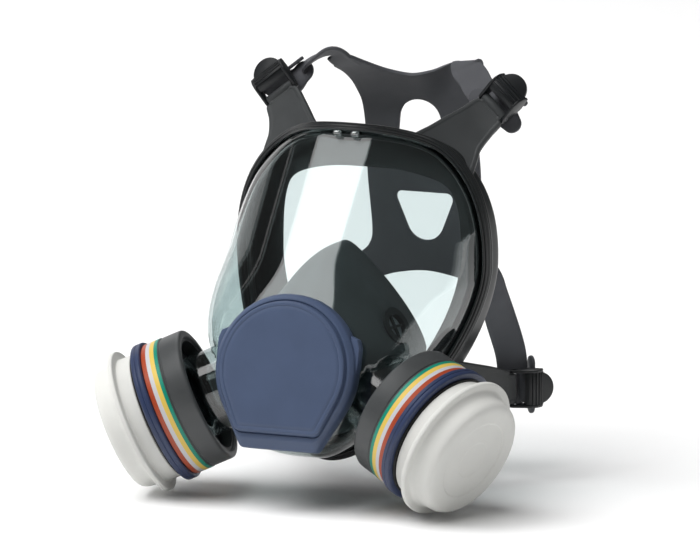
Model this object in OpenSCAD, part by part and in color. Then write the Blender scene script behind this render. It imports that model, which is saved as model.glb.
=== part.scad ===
// Full-face respirator with twin combination filters and a four-point head harness.
// X runs across the face, Y from the front to the back of the head and Z up.
// The origin is the middle of the face seal's opening. Left and right are as seen from the front.

/* [Face outline] */
// Half of the width over the rubber rim
rim_half_width = 86.5; // [84:0.5:90]
// Height of the rim's top above the origin
rim_top = 101; // [97:1:105]
// Depth of the rim's chin below the origin
rim_chin = 107; // [103:1:111]
// Height of the rim's widest place above the origin
rim_widest = 14; // [10:1:18]
// Width of the sealing lip that turns in behind the rim
lip_width = 28; // [24:1:30]

/* [Lens] */
// Thickness of the clear lens
lens_thickness = 2.4; // [2:0.2:3]
// Distance of the lens's edge from the rim's outline
lens_inset = 4; // [3.5:0.1:4.5]
// How far the top of the lens stands in front of the origin
lens_top_reach = 30; // [26:1:34]
// Forward slope of the lens's middle line, in mm for each mm of height
lens_slope = 0.78; // [0.72:0.01:0.84]

/* [Exhalation valve] */
// Distance of the valve's face in front of the origin
valve_reach = 118; // [116:1:120]
// Depth of the valve's middle below the origin
valve_drop = 41; // [39:1:43]
// Upward tilt of the valve's face in degrees
valve_tilt = 13.3; // [12:0.1:14]
// Radius of the exhalation flap
exhale_flap_r = 18.5; // [16:0.5:19]

/* [Filters] */
// Radius of the canister
canister_r = 43; // [42:0.5:44]
// Length of the canister from its inner rim to the adapter ring
canister_length = 26; // [26:0.5:28]
// Radius of the blue adapter ring
adapter_r = 45.3; // [44.5:0.1:46]
// Radius of the particle filter's flange
flange_r = 47; // [46:0.5:48]
// Radius of the port's tube, on which the canister turns
port_tube_r = 20; // [19:0.5:21]

/* [Harness] */
// Width of the harness straps
strap_width = 20; // [18:1:20]
// Thickness of the harness rubber
strap_thickness = 2.2; // [1.8:0.2:2.6]
// Half of the width of the plate behind the head
plate_half_width = 38; // [34:1:42]

/* [Buckles] */
// Length of the buckle from its pin to the thumb tab
buckle_length = 18; // [17.5:0.1:19]
// Radius of the buckle's pin
pin_r = 1.6; // [1.4:0.1:1.8]
// Radius of the half-round thumb tab
thumb_r = 9.5; // [8:0.5:10]

/* [Hidden] */
$fn = 64;
lens_rows = 28;
lens_columns = 34;
rim_steps = 72;
cup_steps = 40;
cup_bands = 8;

// Directions of the filter, the valve and the buckles on the right side
filter_axis = unit([0.88, -0.243, -0.409]);
filter_seat = [66, -97, -64];
valve_axis = [0, -cos(valve_tilt), sin(valve_tilt)];
valve_up = [0, sin(valve_tilt), cos(valve_tilt)];
valve_seat = [0, -valve_reach, -valve_drop];
cup_valve_seat = [44.5, -61, -20];
cup_valve_axis = unit([0.88, -0.12, 0.46]);

upper_pin = [73.5, 29, 107.5];
upper_pin_dir = unit([-0.76, 0.19, 0.62]);
upper_reach = square_to([0.7, 0.37, 0.61], upper_pin_dir);
lower_pin = [85, 35, -72];
lower_pin_dir = [0, 0, 1];
lower_reach = unit([0.72, 0.69, 0]);

// Axial places along a filter, from the canister's inner rim outwards
port_inner = -22;
collar_end = 6;
base_top = 9;
base_end = 11.5;
lug_start = 11.9;
lug_end = 14.3;
tube_end = 14.8;
adapter_start = canister_length + 0.2;
adapter_end = adapter_start + 6.8;
housing_start = adapter_end + 1.7;
flange_start = housing_start + 10.3;
flange_end = flange_start + 3;
housing_end = flange_end + 14;
collar_r = 26;
running_gap = 0.08;

// Exhalation valve: the tube through the lens, its bore and the hole's room round the tube
valve_tube_r = 30;
valve_bore_r = 21;
hole_gap = 0.1;
stem_r = 1.5;
flap_bore_r = stem_r + 0.1;

// Nose cup: its wall, how far it bulges and the tube of its valve seats
cup_wall = 2;
cup_bulge = 13;
cup_tube_r = 10;

// Strap tabs, their barrel round the pin and the place of the strap's bar in the buckle
tab_thickness = 4;
tab_end_width = 19.6;
tab_barrel_r = 3.2;
pin_length = 24;
bar_x = 11;

// Radius of what fills a canister
fill_r = 40.8;

rubber = [0.24, 0.25, 0.26];
dark_plastic = [0.13, 0.13, 0.14];
clear_plastic = [0.85, 0.9, 0.9, 0.35];
navy = [0.2, 0.25, 0.4];
white_felt = [0.9, 0.9, 0.88];
silicone = [0.55, 0.56, 0.58];
steel = [0.7, 0.7, 0.72];
canister_grey = [0.29, 0.3, 0.31];
base_grey = [0.22, 0.23, 0.24];
charcoal_black = [0.08, 0.08, 0.08];
band_green = [0.1, 0.6, 0.5];
seal_black = [0.05, 0.05, 0.05];
media_white = [0.95, 0.95, 0.93];

// Small helpers for vectors, powers and steps
function unit(v) = v / norm(v);
function square_to(v, axis) = unit(v - (v * axis) * axis);
function signed_power(v, p) = sign(v) * pow(abs(v), p);
function step(low, high, v) = let (u = min(1, max(0, (v - low) / (high - low)))) u * u * (3 - 2 * u);
function larger(a, b, blend) = (a + b + sqrt(pow(a - b, 2) + pow(blend, 2))) / 2;
function flatten(lists) = [for (part = lists) each part];
function mix(a, b, u) = a + (b - a) * u;

// A smooth curve through a few points of any size, with a number of steps in each span
function span_point(a, b, c, d, u) =
    0.5 * (2 * b + (c - a) * u + (2 * a - 5 * b + 4 * c - d) * u * u
    + (3 * b - a - 3 * c + d) * u * u * u);
function smooth(points, steps) =
    let (last = len(points) - 1)
    concat(
        [for (i = [0 : last - 1], k = [0 : steps - 1])
            span_point(
                points[max(0, i - 1)], points[i], points[i + 1], points[min(last, i + 2)], k / steps)],
        [points[last]]);

// Outline of the rim at an angle about the face, drawn in by an inset: [x, z]
function rim(angle, inset) =
    let (
        across = rim_half_width - inset,
        above = rim_top - rim_widest - inset,
        below = rim_chin + rim_widest - inset,
        s = abs(sin(angle)))
    sin(angle) >= 0
        ? [across * signed_power(cos(angle), 0.83), rim_widest + above * pow(s, 0.83)]
        : [across * cos(angle) * (1 - 0.27 * pow(s, 1.5)), rim_widest - below * s];

// Depth of the lens's edge and of the sealing lip at a height on the rim
function edge_y(z) =
    z > 80 ? -4.5 - (lens_top_reach - 4.5) * pow((z - 80) / 17, 2)
    : z > 10 ? -4.5
    : -4.5 - 55 * pow((10 - z) / 116, 1.5);
function lip_y(z) = z > 23 ? 4 - 9 * pow((z - 23) / 78, 2) : 4 - 24 * pow((23 - z) / 130, 2);

// Middle line of the lens: it slopes forward, then follows the valve's face
function front_y(z) =
    larger(
        -lens_top_reach - lens_slope * (rim_top - lens_inset - z),
        -valve_reach + tan(valve_tilt) * (z + valve_drop),
        8);

// A point of the lens: rows follow the rim, columns go round from edge to edge
function lens_point(row_angle, column_angle, depth) =
    let (
        edge = rim(row_angle, lens_inset + depth),
        z = edge[1],
        square = 2.3 + 2.7 * step(24, -31, z),
        c = cos(column_angle),
        s = sin(column_angle),
        radius = pow(pow(abs(c), square) + pow(abs(s), square), -1 / square),
        chin = row_angle < 0 ? min(1, pow(edge[0] / 33, 0.8)) : 1,
        reach = (edge_y(z) - front_y(z) - 1.2 * depth) * chin)
    [edge[0] * radius * c, edge_y(z) - max(0.4, reach) * radius * s, z];

// Section of the rubber rim as [inset, depth] pairs round a slot that holds the lens's edge.
// Towards the crown the front lip grows and the lip behind the sloping lens draws back.
function rim_section(edge, lip, crown) =
    let (slot = lens_inset + lens_thickness, bulge = 1 + 0.6 * crown)
    [
        [lens_inset, edge - 6 * bulge], [1.5, edge - 8 * bulge], [-1, edge - 6.5 * bulge],
        [-2, edge - 3], [-1.2, edge + 0.5],
        [0.5, edge + 2], [0, lip + 1], [1.5, lip + 4.5], [4, lip + 6], [12, lip + 5.5],
        [lip_width, lip + 2], [lip_width + 0.3, lip + 0.6], [12, lip + 3], [5, lip + 2.6],
        [3.5, lip], [3.2, edge + 3], [slot + 0.2, edge + 2], [slot + 2.6, edge - 1 + 2.4 * crown],
        [slot + 2.1, edge - 5 + 5.5 * crown], [slot, edge - 5.5 + 5.5 * crown],
        [slot, edge + 0.3], [lens_inset, edge + 0.3]
    ];

// Face edge and front edge of the nose cup at an angle about its middle
function cup_face(angle) =
    let (s = abs(sin(angle)), taper = sin(angle) > 0 ? 1 - 0.6 * pow(s, 1.2) : 1 - 0.15 * s * s)
    [
        50 * cos(angle) * taper,
        -24 - (sin(angle) > 0 ? 12 : 22) * s * s,
        -38 + (sin(angle) > 0 ? 66 : 42) * sin(angle)
    ];
function cup_front(angle) =
    valve_seat - 5.5 * valve_axis + valve_tube_r * (cos(angle) * [1, 0, 0] + sin(angle) * valve_up);
function cup_point(angle, u, depth) =
    let (out = [cos(angle), -0.35, sin(angle)])
    mix(cup_face(angle), cup_front(angle), u) + (cup_bulge * sin(180 * u) - depth) * out;

// Depth of the harness plate at a place behind the head
function plate_y(x, z) =
    91 - 3 * pow((z + 11) / 60, 2) - (z > 95 ? 12 * pow((z - 95) / 24, 2) : 0)
    - 0.003 * step(60, 110, z) * x * x;

// A solid lofted through rings of points, closed on itself or capped at its ends
module loft(rings, closed) {
    n = len(rings);
    k = len(rings[0]);
    spans = closed ? n : n - 1;
    sides = [
        for (i = [0 : spans - 1], j = [0 : k - 1])
            let (
                a = i * k + j,
                b = i * k + (j + 1) % k,
                c = ((i + 1) % n) * k + (j + 1) % k,
                d = ((i + 1) % n) * k + j)
            each [[a, b, c], [a, c, d]]];
    caps = closed ? [] : [[for (j = [k - 1 : -1 : 0]) j], [for (j = [0 : k - 1]) (n - 1) * k + j]];
    polyhedron(flatten(rings), concat(sides, caps), convexity = 10);
}

// A shell between two grids of points of the same size
module shell(outer, inner) {
    r = len(outer);
    c = len(outer[0]);
    m = r * c;
    skins = [
        for (i = [0 : r - 2], j = [0 : c - 2])
            let (p = i * c + j, q = p + 1, s = p + c, t = s + 1)
            each [[p, q, t], [p, t, s], [m + p, m + t, m + q], [m + p, m + s, m + t]]];
    rows = [
        for (j = [0 : c - 2])
            let (p = j, q = j + 1, s = m - c + j, t = m - c + j + 1)
            each [[p, m + p, m + q], [p, m + q, q], [s, m + t, m + s], [s, t, m + t]]];
    columns = [
        for (i = [0 : r - 2])
            let (p = i * c, q = p + c, s = p + c - 1, t = q + c - 1)
            each [[p, m + q, m + p], [p, q, m + q], [s, m + s, m + t], [s, m + t, t]]];
    polyhedron(concat(flatten(outer), flatten(inner)), concat(skins, rows, columns), convexity = 10);
}

// A flat band along a route of [x, y, z, across x, across y, across z, width] points
module band(route, thickness) {
    last = len(route) - 1;
    place = [for (p = route) [p[0], p[1], p[2]]];
    rings = [
        for (i = [0 : last])
            let (
                along = unit(place[min(last, i + 1)] - place[max(0, i - 1)]),
                across = square_to([route[i][3], route[i][4], route[i][5]], along) * route[i][6] / 2,
                up = cross(along, unit(across)) * thickness / 2)
            [
                place[i] + across - up, place[i] - across - up,
                place[i] - across + up, place[i] + across + up]];
    loft(rings, false);
}

// Places what is drawn along Z at a point and turns Z to a direction
module along(origin, axis) {
    translate(origin)
        rotate([0, acos(axis[2]), atan2(axis[1], axis[0])])
            children();
}

// Places what is drawn in a frame: X to reach, Y to the pin's direction, Z to the face
module in_frame(origin, reach, pin_dir) {
    face = cross(reach, pin_dir);
    multmatrix([
        [reach[0], pin_dir[0], face[0], origin[0]],
        [reach[1], pin_dir[1], face[1], origin[1]],
        [reach[2], pin_dir[2], face[2], origin[2]]])
        children();
}

// Draws the right side's piece, or its mirror image for the left side
module on_side(side) {
    mirror([side < 0 ? 1 : 0, 0, 0])
        children();
}

module at_filter(side) {
    on_side(side)
        along(filter_seat, filter_axis)
            children();
}

module at_valve() {
    along(valve_seat, valve_axis)
        rotate(90)
            children();
}

module at_buckle(level, side) {
    on_side(side)
        if (level > 0)
            in_frame(upper_pin, upper_reach, upper_pin_dir) children();
        else
            in_frame(lower_pin, lower_reach, lower_pin_dir) children();
}

module ring(outer, inner, from, to) {
    translate([0, 0, from])
        difference() {
            cylinder(r = outer, h = to - from);
            translate([0, 0, -1])
                cylinder(r = inner, h = to - from + 2);
        }
}

module disc(radius, from, to) {
    translate([0, 0, from])
        cylinder(r = radius, h = to - from);
}

// Three wedges about Z that cut or carry the bayonet's lugs
module wedges(inner, outer, half_angle, from, to) {
    for (turn = [0, 120, 240])
        translate([0, 0, from])
            rotate(turn - half_angle)
                rotate_extrude(angle = 2 * half_angle)
                    translate([inner, 0])
                        square([outer - inner, to - from]);
}

// Clear lens with openings for the two ports and the exhalation valve
module visor_lens() {
    rows = [for (i = [0 : lens_rows]) 87 - 176.2 * i / lens_rows];
    columns = [for (j = [0 : lens_columns]) 180 - 180 * j / lens_columns];
    color(clear_plastic)
        difference() {
            shell(
                [for (r = rows) [for (c = columns) lens_point(r, c, 0)]],
                [for (r = rows) [for (c = columns) lens_point(r, c, lens_thickness)]]);
            for (side = [-1, 1])
                at_filter(side)
                    disc(collar_r - 0.05, port_inner - 12, collar_end);
            at_valve()
                disc(valve_tube_r + hole_gap, -14, 14);
        }
}

// Route of a strap tab, from inside the rim to its pin
function upper_tab() = [
    [53, -1, 82, -0.72, 0.2, 0.66, 46], [58.5, 10, 91, -0.73, 0.2, 0.66, 37],
    [65, 20, 98.5, -0.75, 0.2, 0.64, 27], [69.3, 24.6, 103, -0.76, 0.19, 0.62, tab_end_width],
    concat(upper_pin, upper_pin_dir, tab_end_width)];
function lower_tab() = [
    [71, -12, -38, 0.4, 0.2, 0.9, 44], [75.4, 5, -51, 0.2, 0.1, 1, 34],
    [78.6, 17, -63, 0.05, 0, 1, 26], [81.4, 26.4, -70.6, 0, 0, 1, 20.5],
    [83.2, 30.9, -72, 0, 0, 1, tab_end_width], concat(lower_pin, lower_pin_dir, tab_end_width)];

// Rubber face blank: rim, sealing lip and four strap tabs in one moulding
module facepiece_skirt() {
    color(rubber)
        union() {
            loft(
                [for (i = [0 : rim_steps - 1])
                    let (
                        angle = 360 - 360 * (i + 0.5) / rim_steps,
                        z = rim(angle, lens_inset)[1],
                        crown = step(0.75, 0.97, sin(angle)))
                    [for (p = rim_section(edge_y(z), lip_y(z), crown))
                        let (at = rim(angle, p[0])) [at[0], p[1], at[1]]]],
                true);
            for (side = [-1, 1])
                on_side(side) {
                    band(smooth(upper_tab(), 4), tab_thickness);
                    band(smooth(lower_tab(), 4), tab_thickness);
                }
            for (side = [-1, 1], level = [-1, 1])
                at_buckle(level, side)
                    rotate([90, 0, 0])
                        cylinder(r = tab_barrel_r, h = tab_end_width, center = true);
        }
}

// Inner cup over the nose and mouth, with two openings for its valves
module nose_cup() {
    color(rubber)
        difference() {
            loft(
                [for (i = [0 : cup_steps - 1])
                    let (angle = 360 * (i + 0.5) / cup_steps)
                    concat(
                        [for (j = [0 : cup_bands]) cup_point(angle, j / cup_bands, 0)],
                        [for (j = [cup_bands : -1 : 0]) cup_point(angle, j / cup_bands, cup_wall)])],
                true);
            for (side = [-1, 1])
                on_side(side)
                    along(cup_valve_seat, cup_valve_axis)
                        disc(cup_tube_r + hole_gap, -8, 8);
        }
}

// Valve seat of the nose cup: a flanged tube with a cross that carries the flap's stem
module cup_valve_seat_piece(side) {
    color(dark_plastic)
        on_side(side)
            along(cup_valve_seat, cup_valve_axis)
                union() {
                    ring(cup_tube_r, 8, -4, 3);
                    ring(cup_tube_r + 2.4, 9, 1.4, 3);
                    for (turn = [0, 90])
                        rotate(turn)
                            translate([-8.5, -0.8, 0])
                                cube([17, 1.6, 1.4]);
                    disc(stem_r, -3.4, 1);
                }
}

module cup_valve_flap(side) {
    color(silicone)
        on_side(side)
            along(cup_valve_seat, cup_valve_axis)
                ring(7.6, flap_bore_r, -1, -0.2);
}

// Exhalation valve housing: a tube through the lens with flanges, a cross, a stem
// and four posts that hold the cover
module exhalation_housing() {
    color(dark_plastic)
        at_valve()
            union() {
                ring(valve_tube_r, valve_bore_r, -6, 5);
                ring(valve_tube_r + 3, 28, -6, -4);
                ring(valve_tube_r + 4, 28, 2.4, 4.4);
                ring(valve_bore_r + 2, valve_bore_r, 4, 9);
                for (turn = [0, 60, 120])
                    rotate(turn)
                        translate([-22, -1.2, -1])
                            cube([44, 2.4, 3]);
                disc(3.2, -1, 2.2);
                disc(stem_r, 2, 9);
                for (turn = [45, 135, 225, 315])
                    rotate(turn)
                        translate([31, 0, 4])
                            cylinder(r = 2, h = 9);
            }
}

module exhalation_flap() {
    color(silicone)
        at_valve()
            ring(exhale_flap_r, flap_bore_r, 2.4, 3.4);
}

// Outlines of the exhalation cover: a round top, straight sides and a flat foot
module cover_outline(radius, foot_half_width, foot, corner) {
    hull() {
        circle(r = radius, $fn = 72);
        for (x = [-1, 1])
            translate([x * (foot_half_width - corner), -foot + corner])
                circle(r = corner, $fn = 24);
    }
}

// Blue cover over the exhalation valve, hollow behind, with side lugs and a raised panel
module exhalation_cover() {
    color(navy)
        at_valve()
            difference() {
                union() {
                    hull() {
                        translate([0, 0, 0.5])
                            linear_extrude(9.5)
                                cover_outline(47, 27, 50, 4);
                        linear_extrude(12.6)
                            cover_outline(44, 26, 43, 5);
                    }
                    linear_extrude(15.6)
                        cover_outline(42.3, 27, 38.3, 8);
                    translate([-48.3, 2, 0.5])
                        cube([96.6, 22, 8.5]);
                }
                translate([0, 0, -1])
                    linear_extrude(13.4)
                        cover_outline(40.4, 24, 37, 6);
                translate([0, 0, -1])
                    linear_extrude(10)
                        cover_outline(44.6, 24.6, 47.5, 4);
            }
}

// Filter port: a collar through the lens, a tube with bayonet lugs and a cross for the flap
module filter_port(side) {
    bore = port_tube_r - 3.5;
    color(clear_plastic)
        at_filter(side)
            union() {
                ring(collar_r, bore, port_inner, collar_end);
                ring(port_tube_r, bore, collar_end - 1, tube_end);
                wedges(port_tube_r - 0.6, port_tube_r + 3.2, 17, lug_start, lug_end);
                for (turn = [0, 60, 120])
                    rotate(turn)
                        translate([-bore - 0.5, -1, -6])
                            cube([2 * bore + 1, 2, 2]);
                disc(3, -6, -4);
                disc(stem_r, -12, -5);
            }
}

module port_gasket(side) {
    color(silicone)
        at_filter(side)
            ring(25.4, port_tube_r + 1, collar_end, base_top - 0.3);
}

module inhalation_flap(side) {
    color(silicone)
        at_filter(side)
            ring(15, flap_bore_r, -7.1, -6.2);
}

// Canister shell: outer wall with a rounded inner rim
module canister_body(side) {
    color(canister_grey)
        at_filter(side)
            rotate_extrude($fn = 96)
                polygon([
                    [38.2, 0.6], [38.8, 0], [canister_r - 1.5, 0], [canister_r - 0.4, 0.4],
                    [canister_r, 1.5], [canister_r, canister_length], [canister_r - 2, canister_length],
                    [canister_r - 2, 2.4], [38.2, 2.4]]);
}

// Inner base of the canister: a recess whose floor turns on the port, with slots for the lugs
module canister_base(side) {
    color(base_grey)
        at_filter(side)
            difference() {
                rotate_extrude($fn = 96)
                    polygon([
                        [0, base_top], [36, base_top], [36, 1.2], [38.1, 1.2],
                        [38.1, base_end], [0, base_end]]);
                disc(port_tube_r + running_gap, base_top - 1, base_end + 1);
                rotate(60)
                    wedges(port_tube_r - 1, port_tube_r + 3.8, 20, base_top - 1, base_end + 1);
            }
}

module charcoal_bed(side) {
    color(charcoal_black)
        at_filter(side)
            disc(fill_r, 16.2, canister_length - 2);
}

// Screens on both sides of the charcoal
module canister_screens(side) {
    color(steel)
        at_filter(side) {
            disc(fill_r, 15.3, 16);
            disc(fill_r, canister_length - 1.8, canister_length - 1);
        }
}

module label_band(side) {
    color(band_green)
        at_filter(side)
            ring(canister_r + 0.35, canister_r + 0.05, 14.8, canister_length - 0.2);
}

// Blue adapter ring, rounded outside, with the bore in which the particle filter turns
module adapter_ring(side) {
    soft = 1.6;
    color(navy)
        at_filter(side)
            rotate_extrude($fn = 96)
                polygon([
                    [30 + running_gap, adapter_start], [adapter_r - soft, adapter_start],
                    [adapter_r - 0.4, adapter_start + 0.5], [adapter_r, adapter_start + soft],
                    [adapter_r, adapter_end - 2.6], [adapter_r - 0.5, adapter_end - 1.2],
                    [adapter_r - 1.8, adapter_end - 0.2], [adapter_r - 2.6, adapter_end],
                    [30 + running_gap, adapter_end]]);
}

module prefilter_gasket(side) {
    color(seal_black)
        at_filter(side)
            ring(41.6, 31, adapter_end, housing_start - 0.3);
}

// White particle filter: a hollow drum with a flange, a spigot and a stepped, rounded face
module prefilter_housing(side) {
    drum = 40.8;
    face = 40;
    color(white_felt)
        at_filter(side)
            rotate_extrude($fn = 96)
                polygon([
                    [27.5, adapter_start + 1.2], [30, adapter_start + 1.2], [30, housing_start],
                    [drum, housing_start], [drum, flange_start], [flange_r - 0.8, flange_start],
                    [flange_r, flange_start + 0.8], [flange_r, flange_end - 0.8], [flange_r - 0.8, flange_end],
                    [face + 2, flange_end], [face + 0.4, flange_end + 1], [face, flange_end + 3],
                    [face - 0.7, housing_end - 3.2], [face - 2.2, housing_end - 1.2], [face - 4.4, housing_end],
                    [26, housing_end], [25.4, housing_end - 0.8], [0, housing_end - 0.8],
                    [0, housing_end - 2.6], [24, housing_end - 2.6], [face - 5, housing_end - 1.9],
                    [face - 1.8, housing_end - 4], [face - 1.7, flange_end], [drum - 1.8, flange_end - 1.6],
                    [drum - 1.8, housing_start + 1.8], [27.5, housing_start + 1.8]]);
}

module prefilter_media(side) {
    color(media_white)
        at_filter(side)
            disc(37.4, housing_start + 2.4, housing_end - 5);
}

// Outline of the harness plate, right half, from its top saddle down to its lower arch
function plate_half() = smooth([
    [0, 118.6], [14, 120.5], [24, 124.5], [32, 123], [plate_half_width, 115],
    [plate_half_width + 1.5, 104], [plate_half_width, 84], [plate_half_width + 1, 50],
    [plate_half_width - 1.5, 14], [plate_half_width + 3, -3], [plate_half_width + 6, -14],
    [plate_half_width - 3, -23], [18, -15.5], [0, -11.4]], 4);

module plate_outline() {
    half = plate_half();
    polygon(concat(half, [for (i = [len(half) - 2 : -1 : 1]) [-half[i][0], half[i][1]]]));
}

// Drop-shaped opening at the crown and shield-shaped opening below it
module plate_openings() {
    hull() {
        translate([0, 74])
            circle(r = 16.5, $fn = 48);
        translate([0, 97])
            circle(r = 4, $fn = 24);
    }
    hull() {
        for (x = [-1, 1])
            translate([x * 15.5, 36.5])
                circle(r = 4, $fn = 24);
        translate([0, 19])
            circle(r = 11, $fn = 48);
    }
}

// Routes of the harness straps, from the plate past the back of a buckle to the tail
function upper_strap() = [
    [25, plate_y(25, 109), 109, 0.85, 0.26, -0.46, 27],
    [35, plate_y(35, 120), 120, 0.86, 0.28, -0.35, 23],
    [43, 50, 129, 0.9, 0.3, 0, strap_width], [48, 45.8, 130.4, 0.9, 0.28, 0.35, strap_width],
    [52, 44.2, 126, 0.78, 0.36, 0.52, strap_width], [60, 43, 117, 0.7, 0.37, 0.61, strap_width],
    [74.4, 39.5, 105, 0.7, 0.37, 0.61, strap_width], [84.4, 37, 96.9, 0.7, 0.37, 0.61, strap_width],
    [87.9, 36.1, 94, 0.7, 0.37, 0.61, 12]];
function lower_strap() = [
    [32, 89, -2, 0.6, 0.1, 0.8, 23], [46, 79, -14, 0.65, 0.2, 0.7, strap_width],
    [64, 62, -33, 0.7, 0.4, 0.45, strap_width], [77, 48, -52, 0.72, 0.6, 0.2, strap_width],
    [79.9, 44.7, -70, 0.72, 0.69, 0, strap_width], [79.9, 44.7, -80, 0.72, 0.69, 0, strap_width],
    [79.9, 44.7, -84, 0.72, 0.69, 0, 12]];

// One-piece rubber harness: the plate behind the head and its four straps
module head_harness() {
    across = [for (i = [-12 : 12]) i * 4.8];
    heights = [for (k = [0 : 26]) 142 - k * 6.5];
    half = strap_thickness / 2;
    color(rubber)
        union() {
            intersection() {
                shell(
                    [for (z = heights) [for (x = across) [x, plate_y(x, z) - half, z]]],
                    [for (z = heights) [for (x = across) [x, plate_y(x, z) + half, z]]]);
                translate([0, 140, 0])
                    rotate([90, 0, 0])
                        linear_extrude(140)
                            difference() {
                                plate_outline();
                                plate_openings();
                            }
            }
            for (side = [-1, 1])
                on_side(side) {
                    band(smooth(upper_strap(), 4), strap_thickness);
                    band(smooth(lower_strap(), 4), strap_thickness);
                }
        }
}

module buckle_pin(level, side) {
    color(steel)
        at_buckle(level, side)
            rotate([90, 0, 0])
                cylinder(r = pin_r, h = pin_length, center = true);
}

// Buckle: two cheeks on the pin, a bar for the strap, a ribbed plate over it and a thumb tab
module buckle(level, side) {
    cheek = 1.8;
    cheek_y = 10.2;
    plate_in = 5.6;
    plate_out = 7.4;
    cheek_r = 8.1;
    color(dark_plastic)
        at_buckle(level, side)
            union() {
                for (y = [-cheek_y, cheek_y + cheek])
                    translate([0, y, 0])
                        rotate([90, 0, 0])
                            linear_extrude(cheek)
                                difference() {
                                    union() {
                                        circle(r = 3.6);
                                        translate([bar_x, 0])
                                            circle(r = cheek_r);
                                        polygon([[0, -3.5], [bar_x, -7.4], [bar_x, 7.4], [0, 3.5]]);
                                    }
                                    circle(r = pin_r + running_gap);
                                }
                translate([bar_x, cheek_y + 0.5, 0])
                    rotate([90, 0, 0]) {
                        cylinder(r = 2.6, h = 2 * cheek_y + 1);
                        rotate(15)
                            rotate_extrude(angle = 150)
                                translate([plate_in, 0])
                                    square([plate_out - plate_in, 2 * cheek_y + 1]);
                        for (rib = [20 : 22 : 130])
                            rotate(rib)
                                translate([plate_out, 0, 0])
                                    cylinder(r = 0.6, h = 2 * cheek_y + 1, $fn = 16);
                    }
                translate([buckle_length - 1, 0, 1.6])
                    linear_extrude(2.2)
                        union() {
                            translate([-0.6, -cheek_y - 0.5])
                                square([1.8, 2 * cheek_y + 1]);
                            intersection() {
                                circle(r = thumb_r);
                                translate([0, -thumb_r])
                                    square([2 * thumb_r, 2 * thumb_r]);
                            }
                        }
            }
}

// End of a strap, bent round the buckle's bar under the ribbed plate
module strap_loop(level, side) {
    inside = 2.9;
    outside = inside + 2;
    leg = 6.6;
    color(rubber)
        at_buckle(level, side)
            translate([bar_x, 9.5, 0])
                rotate([90, 0, 0])
                    linear_extrude(19)
                        difference() {
                            union() {
                                circle(r = outside);
                                translate([-outside, -leg])
                                    square([2 * outside, leg]);
                            }
                            circle(r = inside);
                            translate([-inside, -leg - 1])
                                square([2 * inside, leg + 1]);
                        }
}

visor_lens();
facepiece_skirt();
nose_cup();
exhalation_housing();
exhalation_flap();
exhalation_cover();
filter_port(-1);  // filter_port_left
filter_port(1);  // filter_port_right
port_gasket(-1);  // port_gasket_left
port_gasket(1);  // port_gasket_right
inhalation_flap(-1);  // inhalation_flap_left
inhalation_flap(1);  // inhalation_flap_right
cup_valve_seat_piece(-1);  // cup_valve_seat_left
cup_valve_seat_piece(1);  // cup_valve_seat_right
cup_valve_flap(-1);  // cup_valve_flap_left
cup_valve_flap(1);  // cup_valve_flap_right
canister_body(-1);  // canister_body_left
canister_body(1);  // canister_body_right
canister_base(-1);  // canister_base_left
canister_base(1);  // canister_base_right
charcoal_bed(-1);  // charcoal_bed_left
charcoal_bed(1);  // charcoal_bed_right
canister_screens(-1);  // canister_screens_left
canister_screens(1);  // canister_screens_right
label_band(-1);  // label_band_left
label_band(1);  // label_band_right
adapter_ring(-1);  // adapter_ring_left
adapter_ring(1);  // adapter_ring_right
prefilter_gasket(-1);  // prefilter_gasket_left
prefilter_gasket(1);  // prefilter_gasket_right
prefilter_housing(-1);  // prefilter_housing_left
prefilter_housing(1);  // prefilter_housing_right
prefilter_media(-1);  // prefilter_media_left
prefilter_media(1);  // prefilter_media_right
head_harness();
buckle_pin(1, -1);  // buckle_pin_upper_left
buckle_pin(1, 1);  // buckle_pin_upper_right
buckle_pin(-1, -1);  // buckle_pin_lower_left
buckle_pin(-1, 1);  // buckle_pin_lower_right
buckle(1, -1);  // buckle_upper_left
buckle(1, 1);  // buckle_upper_right
buckle(-1, -1);  // buckle_lower_left
buckle(-1, 1);  // buckle_lower_right
strap_loop(1, -1);  // strap_loop_upper_left
strap_loop(1, 1);  // strap_loop_upper_right
strap_loop(-1, -1);  // strap_loop_lower_left
strap_loop(-1, 1);  // strap_loop_lower_right
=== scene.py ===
"""Looks of a full-face respirator: smooth skins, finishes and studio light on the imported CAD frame."""

import logging
import math
from dataclasses import dataclass
from enum import Enum
from typing import Any, Callable, ClassVar, Sequence

import bmesh
import bpy
from mathutils import Matrix, Vector


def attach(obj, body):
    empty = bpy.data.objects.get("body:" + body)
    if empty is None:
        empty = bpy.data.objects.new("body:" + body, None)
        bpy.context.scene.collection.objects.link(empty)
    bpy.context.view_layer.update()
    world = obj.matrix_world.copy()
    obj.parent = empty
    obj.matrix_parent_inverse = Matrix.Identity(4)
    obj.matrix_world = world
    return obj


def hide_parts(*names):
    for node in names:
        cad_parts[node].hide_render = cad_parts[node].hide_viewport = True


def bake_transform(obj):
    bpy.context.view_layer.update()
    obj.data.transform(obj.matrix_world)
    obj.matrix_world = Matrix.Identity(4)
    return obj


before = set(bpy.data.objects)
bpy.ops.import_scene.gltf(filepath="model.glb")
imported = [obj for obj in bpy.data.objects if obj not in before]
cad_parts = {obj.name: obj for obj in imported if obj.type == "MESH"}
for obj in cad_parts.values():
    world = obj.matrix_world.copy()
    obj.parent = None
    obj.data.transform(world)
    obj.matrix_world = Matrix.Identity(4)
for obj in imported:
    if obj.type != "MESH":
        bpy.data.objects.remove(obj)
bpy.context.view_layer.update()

MM = 0.001
TINY = 1e-6
SPECK = 1e-9
MERGE = 1e-4
LEG_SHARE = 0.48
log = logging.getLogger("respirator")

Number = float | int
Pair = tuple[float, float]
Point = tuple[float, float, float]
Stops = Sequence[tuple[float, tuple[float, float, float, float]]]


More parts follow.
